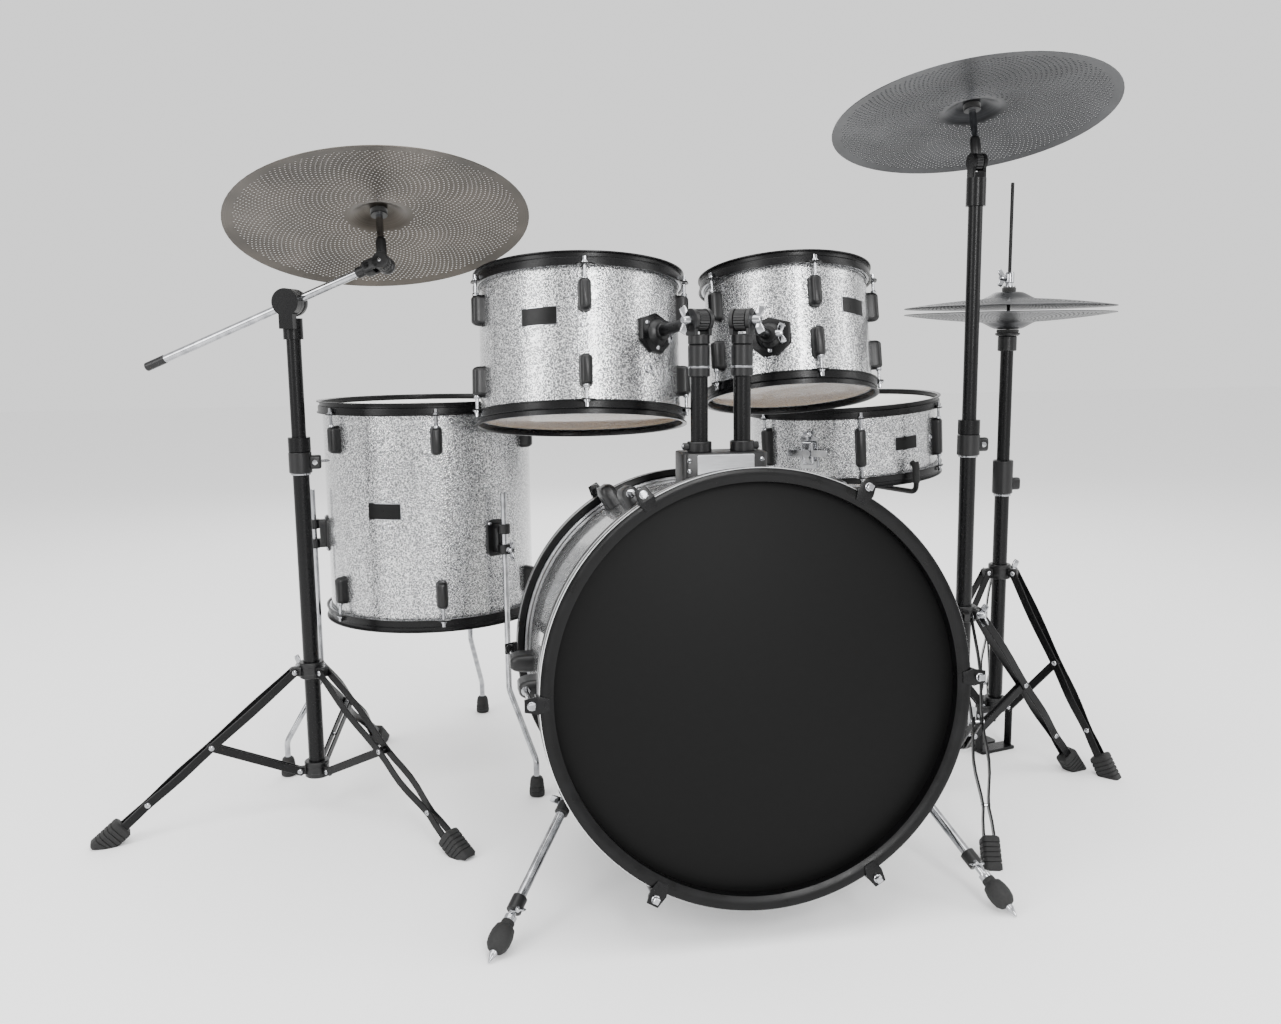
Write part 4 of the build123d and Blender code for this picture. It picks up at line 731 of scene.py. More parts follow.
woodHoops = []
for side in (1, -1):
    outer, inner, back = hoopOuter, hoopInner, front - bass["hoopDepth"]
    profile = [(inner, back), (outer - 1.4, back), (outer, back + 1.4), (outer, back + 12.5),
               (outer - 0.5, back + 13), (outer - 0.5, back + 26.5), (outer, back + 27),
               (outer, front - 3.0), (outer - 1.0, front - 1.0), (outer - 3.2, front), (inner + 2.4, front),
               (inner - 3.5, front - 0.6), (bass["radius"] - 1, front - 3.5),
               (bass["radius"] - 1, edge + 1.2), (inner, edge + 1.2)]
    kinds = ["hoopLacquer"] * 15
    kinds[4] = "hoopInlay"
    # the front hoop's outer chamfer takes the inlay's white as a painted highlight; the back hoop's chamfer
    # stays lacquer
    kinds[7] = "hoopInlay" if side > 0 else "hoopLacquer"
    woodHoops.append(lathe([(r, side * z) for r, z in profile], kinds, sides=216))
piece("bassHoops", moved(woodHoops, bassFrame), root, ["bass_drum_hoops"])

rodRing = hoopOuter + 3.2 + 0.4 + 3.0 + 2.5
nearEnd = front - 92.0
at = Matrix.Translation((0, -rodRing, 0))
teeRods = [lathe([(0, nearEnd - 3), (6.0, nearEnd - 3), (6.0, nearEnd + 1), (5.2, nearEnd + 2.5),
                  (3.0, nearEnd + 2.5), (3.0, front + 3.2), (5.4, front + 3.2), (5.4, front + 5.2),
                  (4.6, front + 6.0), (0, front + 6.0)], "chromePlate", at, 24, closed=False),
           slab(7.6, 7.6, 0.9, [(front + 5.5, 0), (front + 10.4, 0), (front + 11.2, 0.8)], "chromePlate",
                at, 2)]
aroundDrum("bassRods", teeRods, "chromePlate", bass["lugs"], bass["first"], True, bassFrame, root)
# the claw is one bent strap: down the hoop's face, over its rim and round the rod
clawPath = rounded([(0, -(hoopInner - 3.5), front + 1.0), (0, -(hoopOuter + 1.0), front + 1.9),
                    (0, -(rodRing + 8.5), front + 1.6)], 2.0, 3)
strap = [(u, v) for u, v in ((-11, -1.4), (-10, -1.6), (10, -1.6), (11, -1.4), (11, 1.4), (10, 1.6),
                             (-10, 1.6), (-11, 1.4))]
lip = [(0, -(hoopOuter + 2.0), front + 1.2), (0, -(hoopOuter + 2.2), front - 15.0)]
clawParts = [sweep(clawPath, strap, "powderCoat", (1, 0, 0),
                   scales=[0.62] + [1.0] * (len(clawPath) - 2) + [0.7]),
             sweep(lip, strap, "powderCoat", (1, 0, 0)), lathe([(3.3, front - 9.0), (7.2, front - 9.0),
                                                                (7.8, front - 7.5), (7.8, front + 2.6),
                                                                (3.3, front + 2.6)], "powderCoat", at, 28)]
aroundDrum("bassClaws", clawParts, "powderCoat", bass["lugs"], bass["first"], True, bassFrame, root)
deep = rodRing - bass["radius"] + 9.5
lugLevels = [(0, 0), (deep * 0.4, 0), (deep * 0.68, 0.8), (deep * 0.86, 2.6), (deep * 0.95, 4.8),
             (deep, 7.6)]
lugSpot = wallFrame(0, bass["radius"] - 1.5, nearEnd - 29.0)
bassLugParts = [slab(26.0, 58.0, 9.0, lugLevels, "mouldedNylon", lugSpot, 6),
                slab(28.0, 60.0, 9.6, [(0, 0), (2.4, 0), (3.0, 0.6)], "mouldedNylon", lugSpot, 6)]
aroundDrum("bassLugs", bassLugParts, "mouldedNylon", bass["lugs"], bass["first"], True, bassFrame, root,
           ["bass_drum_tension"])
print("bass drum")

# Tom mount and spur brackets.
mount = dict(x=-19.0, y=152.0, spacing=61.0, post=12.1, length=120.0, width=60.0, height=42.0, collar=14.0,
             knuckle=780.5, bottom=455.0, disc=17.0, wide=30.0)
mountTop = bassHeight + bass["radius"] - (mount["y"] - bassCentre.y) * math.tan(noseUp) + mount["height"]
mountFloor = bassHeight + bass["radius"] * 0.9
centre = Vector((mount["x"], mount["y"], 0))
fittings = [slab(mount["length"], mount["width"], 8.0, [(mountFloor + 8, 0), (mountTop - 2, 0),
                                                        (mountTop - 0.6, 0.6), (mountTop, 2.0)],
                 "mouldedNylon", Matrix.Translation(centre)),
            slab(mount["length"] - 40, 30.0, 2.0, [(-0.3, 0), (1.0, 0), (1.6, 0.6)], "brushedZinc",
                 axes(centre + Vector((0, -mount["width"] / 2, mountTop - 17.5)), Vector((1, 0, 0)),
                      upright, Vector((0, -1, 0))))]
postX = mount["spacing"] / 2
for side in (-1, 1):
    foot = centre + Vector((side * postX, 0, 0))
    fittings.append(tube(foot + Vector((0, 0, mountTop - 0.5)),
                         foot + Vector((0, 0, mountTop + mount["collar"])), mount["post"] + 5.0,
                         mount["post"] + 0.1, "mouldedNylon", soft=1.2))
    fittings.append(box(12, 10, 9, "mouldedNylon", axes(foot + Vector((side * 14, 0, mountTop + 7)),
                                                        Vector((0, 1, 0)), upright, Vector((side, 0, 0))),
                        2.0))
    fittings += [screwHead(foot + Vector((side * 23, 0, mountTop + 7)), (side, 0, 0), 3.4)]
    for level in (-24, -10):
        fittings.append(screwHead(centre + Vector((side * (mount["length"] / 2 - 9), -mount["width"] / 2,
                                                   mountTop + level)), (0, -1, 0), 3.2, rise=1.6))
spurs = {"left": dict(side=-1, angle=38.0, foot=(-371.0, -80.0)),
         "right": dict(side=1, angle=31.0, foot=(318.0, -100.0))}
spurY = 118.0
for name, spur in spurs.items():
    turn = math.radians(spur["angle"])
    out = Vector((spur["side"] * math.cos(turn), 0, -math.sin(turn)))
    wallCentre = Vector((bass["place"][0], spurY, bassCentre.z - (spurY - bassCentre.y) * math.tan(noseUp)))
    pad = axes(wallCentre + out * (bass["radius"] - 4), Vector((0, 1, 0)), out.cross(Vector((0, 1, 0))),
               out)
    fittings.append(slab(52, 44, 9, [(0, 0), (11, 0), (15, 1.2), (17.6, 3.4), (18, 6)], "mouldedNylon",
                         pad))
    for u in (-19, 19):
        fittings.append(screwHead(pad @ Vector((u, 0, 16.2)), out, 3.4))
    pivot = wallCentre + out * (bass["radius"] + 14.4)
    spur.update(out=out, pivot=pivot)
    fittings.append(bar(pivot, pivot + out * 17.2, 3.9, "chromePlate"))
    fittings += wingScrew(pivot + out * 17.2, out, "chromePlate", 1.15, 1.0)
piece("bassFittings", fittings, root, ["bass_drum_fittings"])
for name, spur in spurs.items():
    out, pivot = spur["out"], spur["pivot"]
    tip = Vector((*spur["foot"], 0))
    start = pivot + out * 10
    down = (tip - start).normalized()
    length = (tip - start).length
    line = along(start, down)
    parts = [bar(start + down * 4, start + down * (length * 0.64), 6.5, "chromePlate", 32),
             bar(start + down * (length * 0.6), start + down * (length - 30), 5.0, "chromePlate", 32),
             tube(pivot, pivot + out * 16, 17.0, 4.2, "mouldedNylon", soft=1.2),
             tube(start + down * 12, start + down * 30, 9.5, 6.4, "mouldedNylon", soft=1.0),
             tube(start + down * (length * 0.62), start + down * (length * 0.62 + 22), 10.0, 4.8,
                  "mouldedNylon", soft=1.0)]
    parts += wingScrew(start + down * (length * 0.62 + 11) + Vector((0, -10, 0)), (0, -1, 0), "chromePlate",
                       0.7, 1.0)
    end = length - 10
    bulb = [(0, end - 56), (7.0, end - 56), (8.6, end - 54), (9.0, end - 48), (12.6, end - 45),
            (14.8, end - 36), (15.0, end - 27), (13.6, end - 19), (10.0, end - 13.5), (7.0, end - 12),
            (0, end - 12)]
    parts.append(lathe(bulb, "rubber", line, 36, closed=False))
    parts.append(lathe([(0, end - 62), (8.0, end - 62), (8.0, end - 55), (7.4, end - 54), (0, end - 54)],
                       "chromePlate", line, 32, closed=False))
    parts.append(lathe([(0, end - 14), (5.0, end - 14), (5.0, end - 7), (4.2, end - 6), (1.0, end + 4),
                        (0, end + 4.5)], "chromePlate", line, 24, closed=False))
    piece("spur" + name.capitalize(), parts, "spur_" + name, ["spur_" + name])
print("mount and spurs")

# Tom posts and arms.
bracketAngles = {"left": 38.0, "right": -29.0}
for name, side in (("left", -1), ("right", 1)):
    drum = drums["midTom" if name == "left" else "highTom"]
    tomFrame = drumFrame(drum["centre"], drum["axis"])
    knuckle = Vector((mount["x"] + side * postX, mount["y"], mount["knuckle"]))
    padZ = (tomFrame.inverted() @ knuckle).z
    towards = bracketAngles[name]
    padFrame = tomFrame @ wallFrame(towards, drum["radius"], padZ)
    padCentre = padFrame.translation
    armLine = (padCentre - knuckle).normalized()
    hinge = Vector((armLine.y, -armLine.x, 0)).normalized()
    foot = Vector((knuckle.x, knuckle.y, 0))
    high = knuckle.z - mount["disc"]
    r = mount["post"]
    parts = [tube(foot + upright * mount["bottom"], foot + upright * (high - 16), r, r - 2, "powderCoat"),
             tube(foot + upright * (high - 60), foot + upright * (high - 16), r + 3, r - 0.2,
                  "mouldedNylon", soft=1.4), tube(foot + upright * (high - 48),
                                                  foot + upright * (high - 45), r + 3.4, r, "chromePlate",
                                                  soft=0.3), bar(foot + upright * (high - 16),
                                                                 foot + upright * (high - 2), r + 3,
                                                                 "mouldedNylon", 40, 1.4)]
    for end in (-1, 1):
        face = knuckle + hinge * (end * mount["wide"] / 2)
        parts.append(lathe([(0, 0), (15.4, 0), (16, 0.6), (16, 5.4), (15.4, 6), (0, 6)], "mouldedNylon",
                           along(face, hinge * -end), 40, closed=False))
        down = axes(knuckle + hinge * (end * (mount["wide"] / 2 - 3)) - upright * (mount["disc"] + 4),
                    hinge, upright.cross(hinge), upright)
        parts.append(box(6, 22, mount["disc"] + 4, "mouldedNylon", down, 1.5))
    parts.append(bar(knuckle - hinge * 17, knuckle + hinge * 17, 4, "chromePlate"))
    parts += wingScrew(knuckle + hinge * (side * 15), hinge * side, "chromePlate", 1.25, 1.0)
    parts.append(screwHead(knuckle - hinge * (side * 15), hinge * -side, 6.5))
    piece("tomPost" + name.capitalize(), parts, "tom_post_" + name, ["tom_post_" + name])
    half = mount["wide"] / 2 - 6.4
    # the ratchet disc's teeth, cut by a wavy rim
    teeth = lathe([(4.1, -half), (13.6, -half), (14.9, -half + 0.8), (14.9, half - 0.8), (13.6, half),
                   (4.1, half)], "mouldedNylon", along(knuckle, hinge), 96,
                  warp=lambda turn, rr, zz: (rr + (0.5 * math.cos(24 * turn) if rr > 14 else 0), zz))
    parts = [teeth, bar(knuckle + armLine * 10, padCentre - armLine * 3, 8.0, "powderCoat", 36),
             tube(knuckle + armLine * 14, knuckle + armLine * 34, 11.0, 7.8, "mouldedNylon", soft=1.2)]
    plate = tomFrame @ wallFrame(towards, drum["radius"] - 2.5, padZ)
    outline = [(0, 29), (31, 18), (31, -12), (12, -29), (-12, -29), (-31, -12), (-31, 18)]
    levels = [(0, 1.0), (5.2, 1.0), (7.6, 0.965), (8.5, 0.9)]
    verts = [plate @ Vector((x * s, y * s, z)) for z, s in levels for x, y in outline]
    n = len(outline)
    faces = [[i * n + j, i * n + (j + 1) % n, (i + 1) * n + (j + 1) % n, (i + 1) * n + j]
             for i in range(len(levels) - 1) for j in range(n)]
    faces += [list(range(n))[::-1], [3 * n + j for j in range(n)]]
    parts.append((verts, faces, ["powderCoat"] * len(faces)))
    parts.append(lathe([(0, 6), (20, 6), (20, 9), (17, 13), (13, 16), (13, 21), (12, 22), (0, 22)],
                       "mouldedNylon", plate, 40, closed=False))
    for x, y in ((-22, 12), (22, 12), (0, -22)):
        parts.append(screwHead(plate @ Vector((x, y, 8.3)), padFrame.col[2].xyz, 3.6))
    parts += wingScrew(plate @ Vector((12, 0, 17)), (plate.col[0].xyz), "chromePlate", 1.0, 1.0)
    node = drum["node"] + "_arm"
    piece(drum["body"].replace("_t", "T") + "Arm", parts, drum["body"], [node])
print("tom holders")

# Floor tom legs.
floor = drums["floorTom"]
floorPlace = Vector((floor["centre"][0], floor["centre"][1], 0))
floorLeg = dict(offset=24.0, top=508.0, bendTop=172.0, bendLow=62.0, splay=65.0, radius=5.0,
                bendRadius=28.0, bracket=431.0, angles={"front": 37.0, "left": -83.0, "rear": 161.0})
legRing = floor["radius"] + floorLeg["offset"]
footRing = legRing + floorLeg["splay"]
bracketZ = floorLeg["bracket"]
brackets = []
for name, angle in floorLeg["angles"].items():
    turned = Matrix.Translation(floorPlace) @ Matrix.Rotation(math.radians(angle), 4, "Z")

    def legPoint(r, z):
        return turned @ Vector((0, -r, z))
    route = rounded([legPoint(legRing, floorLeg["top"]), legPoint(legRing, floorLeg["bendTop"]),
                     legPoint(footRing, floorLeg["bendLow"]), legPoint(footRing, 20)],
                    floorLeg["bendRadius"], 10)
    parts = [sweep(route, circle(floorLeg["radius"], 24), "chromePlate"),
             screwHead(legPoint(legRing, floorLeg["top"] - 1), (0, 0, 1), 4.9, rise=1.2)]
    footBase = Matrix.Translation(legPoint(footRing, 0))
    parts.append(lathe([(0, 0.4), (10.6, 0.4), (12.4, 1.4), (13, 4), (13, 9), (12.1, 9.6), (12.1, 11.2),
                        (12.8, 11.8), (12.3, 16), (11.4, 16.6), (11.4, 18.2), (12.0, 18.8), (11.2, 27),
                        (9.6, 32), (7.4, 34), (0, 34)], "rubber", footBase, 36, closed=False))
    piece("floorTomLeg" + name.capitalize(), parts, "floor_tom_leg_" + name, ["floor_tom_leg_" + name])
    pad = turned @ axes(Vector((0, -floor["radius"] + 1.5, bracketZ)), Vector((1, 0, 0)), upright,
                        Vector((0, -1, 0)))
    brackets.append(slab(38, 62, 12, [(0, 0), (3.4, 0), (4.6, 1.0)], "mouldedNylon", pad))
    for low in (-25, 9):
        bore = turned @ Matrix.Translation(Vector((0, -legRing, bracketZ + low)))
        brackets.append(lathe([(5.2, 0), (9.2, 0), (10, 0.8), (10, 15.2), (9.2, 16), (5.2, 16)],
                              "mouldedNylon", bore, 36))
        web = turned @ axes(Vector((0, -floor["radius"], bracketZ + low + 8)), Vector((1, 0, 0)), upright,
                            Vector((0, -1, 0)))
        brackets.append(slab(14, 15, 3, [(0, 0), (15.5, 0)], "mouldedNylon", web))
    brackets.append(slab(15, 40, 5, [(4, 0), (13, 0), (16, 1.5)], "mouldedNylon", pad))
    out = (turned.to_3x3() @ Vector((0, -1, 0)))
    for z in (-25, 25):
        brackets.append(screwHead(pad @ Vector((-14 if z > 0 else 14, z, 4.4)), out, 3.3))
    brackets += wingScrew(legPoint(legRing + 9.6, bracketZ - 17), out, "chromePlate", 1.05, 3.0)
piece("floorTomBrackets", brackets, root, ["floor_tom_leg_brackets"])

# Snare wires, strainer and basket.
snare = drums["snare"]
snareFrame = drumFrame(snare["centre"], snare["axis"])
snareHalf = snare["depth"] / 2
wireLength = 1.44 * snare["radius"]
wires = dict(count=16, spacing=4.0, coil=1.1, wire=0.28, pitch=2.6, under=-snareHalf - 4.6)
strainerAngle = -40.0
strainerTurn = Matrix.Rotation(math.radians(strainerAngle), 4, "Z")
unit = bpy.data.meshes.new("snareUnit")
coilLength = wireLength - 26
coils = runTree(wireTree(), unit, {
    "Wires": wires["count"], "Spacing": wires["spacing"], "Length": coilLength,
    "Coil Radius": wires["coil"], "Turns": coilLength / wires["pitch"],
    "Wire Radius": wires["wire"], "Finish": finishes["chromePlate"]})
firstCoil = Vector((-wires["spacing"] * (wires["count"] - 1) / 2, coilLength / 2, wires["under"]))
layDown = strainerTurn @ axes(firstCoil, Vector((1, 0, 0)), upright, Vector((0, -1, 0)))
coils.transform(Matrix.Translation(kitShift) @ Matrix.Scale(0.001, 4) @ snareFrame @ layDown)
placeMesh("snareCoils", coils, "snare", ["snare_wires"], 60.0, False)
plates = []
for side in (-1, 1):
    at = strainerTurn @ Matrix.Translation(Vector((0, side * (wireLength / 2 - 7), wires["under"] - 1.2)))
    plates.append(slab(wires["spacing"] * wires["count"] + 4, 16, 3,
                       [(0, 0.3), (0.4, 0), (1.8, 0), (2.2, 0.3)], "brushedZinc", at))
    strapAt = [at @ Vector((0, 0, 1)), at @ Vector((0, side * 52, 1))]
    plates.append(sweep(strapAt, [(-14, -0.3), (14, -0.3), (14, 0.3), (-14, 0.3)], "clearFilm",
                        strainerTurn.to_3x3() @ Vector((1, 0, 0))))
piece("snareWirePlates", moved(plates, snareFrame), "snare")
strainer = []
for angle, wide, tall in ((strainerAngle, 34, 58), (strainerAngle + 180, 34, 40)):
    pad = wallFrame(angle, snare["radius"] - 0.5, -6)
    strainer.append(slab(wide, tall, 5, [(0, 0), (2.2, 0), (3.0, 0.6)], "chromePlate", pad))
    strainer.append(slab(wide - 10, tall - 14, 4, [(2, 0), (11, 0), (14.5, 1.0), (16, 3.0)], "chromePlate",
                         pad))
    for z in (-1, 1):
        strainer.append(screwHead(pad @ Vector((0, z * (tall / 2 - 4), 2.8)), pad.col[2].xyz, 3.0))
    strainer.append(slab(wide - 4, 14, 2, [(1.5, 0), (9, 0), (9.8, 0.6)], "brushedZinc",
                         pad @ Matrix.Translation((0, -tall / 2 + 7, 0))))
knob = wallFrame(strainerAngle, snare["radius"] + 9.0, 17.0)
strainer.append(lathe([(0, 0), (2.5, 0), (2.5, 6), (7, 6.8), (7.8, 8), (7.8, 15), (6.8, 16.5), (0, 16.5)],
                      "chromePlate", Matrix.Translation(knob.translation), 40, closed=False,
                      warp=lambda turn, rr, zz: (rr + (0.35 * math.cos(20 * turn) if rr > 6.9 else 0), zz)))
piece("snareStrainer", moved(strainer, snareFrame), "snare", ["snare_strainer"])

basketSizes = dict(hub=-109.5, arm=5.0, reach=200.8, rise=20.0, angles=(20, 140, 260))
hub, armReach = basketSizes["hub"], basketSizes["reach"]
armHeight = hub + basketSizes["rise"]
basket = []
for angle in basketSizes["angles"]:
    turned = Matrix.Rotation(math.radians(angle), 4, "Z")
    stops = ((16, hub), (60, armHeight), (armReach, armHeight), (armReach, hub + 64))
    route = rounded([turned @ Vector((0, -r, z)) for r, z in stops], 16, 8)
    basket.append(sweep(route, circle(basketSizes["arm"], 20), "powderCoat"))
    basket.append(sweep([turned @ Vector((0, -armReach, hub + 38)),
                         turned @ Vector((0, -armReach, hub + 62)),
                         turned @ Vector((0, -armReach + 1.2, hub + 76))], circle(6.6, 20), "rubber"))
    basket.append(sweep([turned @ Vector((0, -201.5, hub + 66)), turned @ Vector((0, -190.8, hub + 74.5))],
                        circle(5.2, 16), "rubber"))
basket.append(lathe([(0, -11), (19, -11), (20, -10), (20, 10), (19, 11), (0, 11)], "mouldedNylon",
                    Matrix.Translation((0, 0, hub)), 48, closed=False))
basket.append(lathe([(3, -30), (7.5, -30), (7.5, -10), (3, -10)], "chromePlate",
                    Matrix.Translation((0, 0, hub)), 32))
print("floor tom and snare fittings")

# Tripods.
basketPivot = snareFrame @ Vector((0, 0, hub - 30))
stands = {
    "boomStand": dict(place=(-622.0, 460.0), feet=314.0, first=75.0, collar=236.0, lower=70.0, lock=589.0),
    "crashStand": dict(place=(424.0, 304.0), feet=254.0, first=255.0, collar=310.0, lower=98.0, lock=602.0),
    "hihatStand": dict(place=hatStandPlace, feet=205.0, first=-51.0, collar=336.0, lower=88.0, lock=512.0),
    "snareStand": dict(place=(basketPivot.x, basketPivot.y), feet=190.0, first=60.0, collar=225.0,
                       lower=70.0, lock=300.0),
}
pivotReach, tubeRadius, innerRadius = 28.0, 12.7, 11.12
legGap, braceGap, barHeight, barThick = 6.4, 3.3, 13.0, 2.6     # half gaps and the bars' own section
footLength, footWidth, footTall, footCentre = 52.0, 26.0, 32.0, 9.6
braceShare, rivetShare, rivetGap = 0.46, 0.8, 2.6     # along a leg, and half its gap at the rivet
collarBore, slideBore = 12.5, 13.0


def standPoint(stand, z):
    return Vector((*stand["place"], z))


# two flat bars side by side; shape gives half the gap along their length
def barPair(start, end, side, shape):
    parts = []
    down = (end - start).normalized()
    middle = (0.012, 0.06, 0.12, 0.18, 0.24, 0.3, 0.36, 0.42, 0.47, 0.52, 0.57, 0.62, 0.67, 0.72, 0.76,
              0.8, 0.85, 0.9, 0.95, 0.988)
    stops = [(0, 0.6)] + [(t, 1.0) for t in middle] + [(1, 0.6)]    # share of the length, and size there
    run = (end - start).length + barHeight
    for sign in (-1, 1):
        points, scales = [], []
        for t, scale in stops:
            aside = side * (sign * (shape(t) + barThick / 2))
            points.append(start + down * (t * run - barHeight / 2) + aside)
            scales.append(scale)
        half, tall = barThick / 2, barHeight / 2
        section = [(-half, -tall + 0.8), (-half + 0.8, -tall), (half - 0.8, -tall), (half, -tall + 0.8),
                   (half, tall - 0.8), (half - 0.8, tall), (-half + 0.8, tall), (-half, tall - 0.8)]
        parts.append(sweep(points, section, "powderCoat", side, scales=scales))
    return parts


def rivet(spot, side, half):
    return [bar(spot - side * half, spot + side * half, 2.4, "chromePlate", 16, 0.2),
            screwHead(spot + side * half, side, 4.2, rise=1.6),
            screwHead(spot - side * half, -side, 4.2, rise=1.6)]


def legShape(t):
    # the bars bow apart between the collar, the brace's pin, the rivet and the foot
    if t < braceShare:
        return legGap + 4.6 * math.sin(math.pi * t / braceShare) ** 2
    if t < rivetShare:
        span = (t - braceShare) / (rivetShare - braceShare)
        return legGap + (rivetGap - legGap) * span + 5.5 * math.sin(math.pi * span) ** 2
    return rivetGap + 3.4 * math.sin(math.pi * (t - rivetShare) / (1 - rivetShare))


def tripodLeg(stand, i):
    turn = math.radians(stand["first"] + 120 * i)
    out = Vector((math.cos(turn), math.sin(turn), 0))
    side = Vector((-out.y, out.x, 0))
    top = standPoint(stand, stand["collar"]) + out * pivotReach
    low = standPoint(stand, stand["lower"]) + out * pivotReach
    foot = standPoint(stand, footCentre) + out * stand["feet"]
    down = (foot - top).normalized()
    leg = barPair(top, foot, side, legShape)
    leg += rivet(top + down * ((foot - top).length * rivetShare), side, rivetGap + barThick)
    at = axes(foot - down * (footLength * 0.55), side, down.cross(side), down)
    levels = [(0, 3.0), (2, 0.6), (5, 0)]
    for k in range(5):
        z = 11 + 7 * k
        levels += [(z - 1.6, 0), (z - 1.2, 1.3), (z, 1.3), (z + 0.4, 0)]
    levels += [(footLength - 4, 0), (footLength, 3.0)]
    verts, faces, kinds = slab(footWidth, footTall, 6.0, levels, "rubber", at)
    leg.append(([Vector((v.x, v.y, max(v.z, 0.1))) for v in verts], faces, kinds))
    far = top + down * ((foot - top).length * braceShare)
    reach = (far - low).normalized()
    brace = barPair(low, far, side, lambda t: braceGap)
    brace += rivet(far, side, legGap + barThick)
    middle = low + reach * ((far - low).length * 0.45)
    brace.append(bar(middle - side * braceGap, middle + side * braceGap, 3.0, "chromePlate", 16))
    return leg, brace


# a collar with an ear and a rivet for each leg or brace, and a clamp screw where it slides
def pivotCollar(stand, height, bore, half, pin, spread):
    at = Matrix.Translation(standPoint(stand, height))
    parts = [lathe([(bore, -12), (18.4, -12), (19.7, -10.6), (19.7, -5), (18.9, -4), (18.9, 6), (19.7, 7),
                    (19.7, 12.6), (18.4, 14), (bore, 14)], "mouldedNylon", at, 64)]
    for i in range(3):
        turn = math.radians(stand["first"] + 120 * i)
        out = Vector((math.cos(turn), math.sin(turn), 0))
        side = Vector((-out.y, out.x, 0))
        ear = axes(standPoint(stand, height) + out * (tubeRadius + 3), side, upright, out)
        parts.append(slab(2 * half, 15, 2.5, [(0, 0), (pivotReach - tubeRadius, 0),
                                              (pivotReach - tubeRadius + 3, 1.6)], "mouldedNylon", ear))
        spot = standPoint(stand, height) + out * pivotReach
        parts += rivet(spot, side, pin)
    if spread:
        turn = math.radians(stand["first"] + 60)
        out = Vector((math.cos(turn), math.sin(turn), 0))
        parts.append(box(14, 16, 7, "mouldedNylon", axes(standPoint(stand, height + 1) + out * 17.5,
                         Vector((-out.y, out.x, 0)), upright, out), 2.0))
        parts += wingScrew(standPoint(stand, height + 1) + out * 24.5, out, "chromePlate", 1.2, 1.0)
    return parts


# the split lug that clamps a stand's height, and its wing screw
def clampLug(stand):
    spot = standPoint(stand, stand["lock"] - 17)
    lug = axes(spot + Vector((tubeRadius + 3, 0, 0)), Vector((0, 1, 0)), upright, Vector((1, 0, 0)))
    return ([slab(14, 22, 4.5, [(0, 0), (13, 0), (15.2, 0.8), (16, 2.0)], "mouldedNylon", lug)]
            + wingScrew(spot + Vector((tubeRadius + 10, 7.0, 0)), (0, 1, 0), "chromePlate", 1.3, 1.0))


# the lower tube with its sleeve, bright ring and clamp
def baseTube(stand):
    low, top = standPoint(stand, stand["lower"] - 14), standPoint(stand, stand["lock"])
    parts = [tube(low, top - upright * 30, tubeRadius, innerRadius + 0.05, "powderCoat"),
             tube(top - upright * 34, top, tubeRadius + 5, innerRadius + 0.05, "mouldedNylon", soft=1.6),
             tube(top - upright * 36.5, top - upright * 33.5, tubeRadius + 2.4, tubeRadius - 0.2,
                  "chromePlate", soft=0.3)]
    parts += clampLug(stand)
    parts.append(screwHead(top + Vector((tubeRadius + 10, -7.0, -17)), (0, -1, 0), 4.6))
    return parts


lowHalf, lowPin = braceGap - 0.4, braceGap + barThick
earHalf, legPin = legGap - 0.4, legGap + barThick
boom = stands["boomStand"]
piece("boomStandTube", baseTube(boom) + pivotCollar(boom, boom["lower"], collarBore, lowHalf, lowPin,
                                                    False), root, ["boom_stand_tube"])
piece("boomStandLegCollar", pivotCollar(boom, boom["collar"], slideBore, earHalf, legPin, True),
      "boom_leg_collar", ["boom_stand_leg_collar"])
for i in range(3):
    leg, brace = tripodLeg(boom, i)
    n = str(i + 1)
    piece("boomStandLeg" + n, leg, "boom_leg_" + n, ["boom_stand_leg_" + n])
    piece("boomStandBrace" + n, brace, "boom_brace_" + n, ["boom_stand_brace_" + n])


def openTripod(stand):
    parts = pivotCollar(stand, stand["collar"], collarBore, earHalf, legPin, True)
    parts += pivotCollar(stand, stand["lower"], collarBore, lowHalf, lowPin, False)
    for i in range(3):
        leg, brace = tripodLeg(stand, i)
        parts += leg + brace
    return parts


crash, hat, snareStand = stands["crashStand"], stands["hihatStand"], stands["snareStand"]
piece("crashStandBase", baseTube(crash) + openTripod(crash), root, ["crash_stand_base"])
print("tripods")

# Cymbals.
sheetThick, bowRise, bellRise, bellRadius, seatRadius = 1.2, 14.0, 12.0, 46.0, 16.0
bellTop = bowRise + bellRise


# a curve between two profile points with the given slopes at its ends
def arc(a, b, slopeA, slopeB, steps):
    run = b[0] - a[0]
    points = []
    for i in range(1, steps + 1):
        t = i / steps
        z = ((2 * t ** 3 - 3 * t * t + 1) * a[1] + (t ** 3 - 2 * t * t + t) * run * slopeA
             + (-2 * t ** 3 + 3 * t * t) * b[1] + (t ** 3 - t * t) * run * slopeB)
        points.append((a[0] + run * t, z))
    return points


holes = dict(pitch=6.5, radius=1.85, inner=52.0, solidRim=0.93)
sunflower = perforationTree()


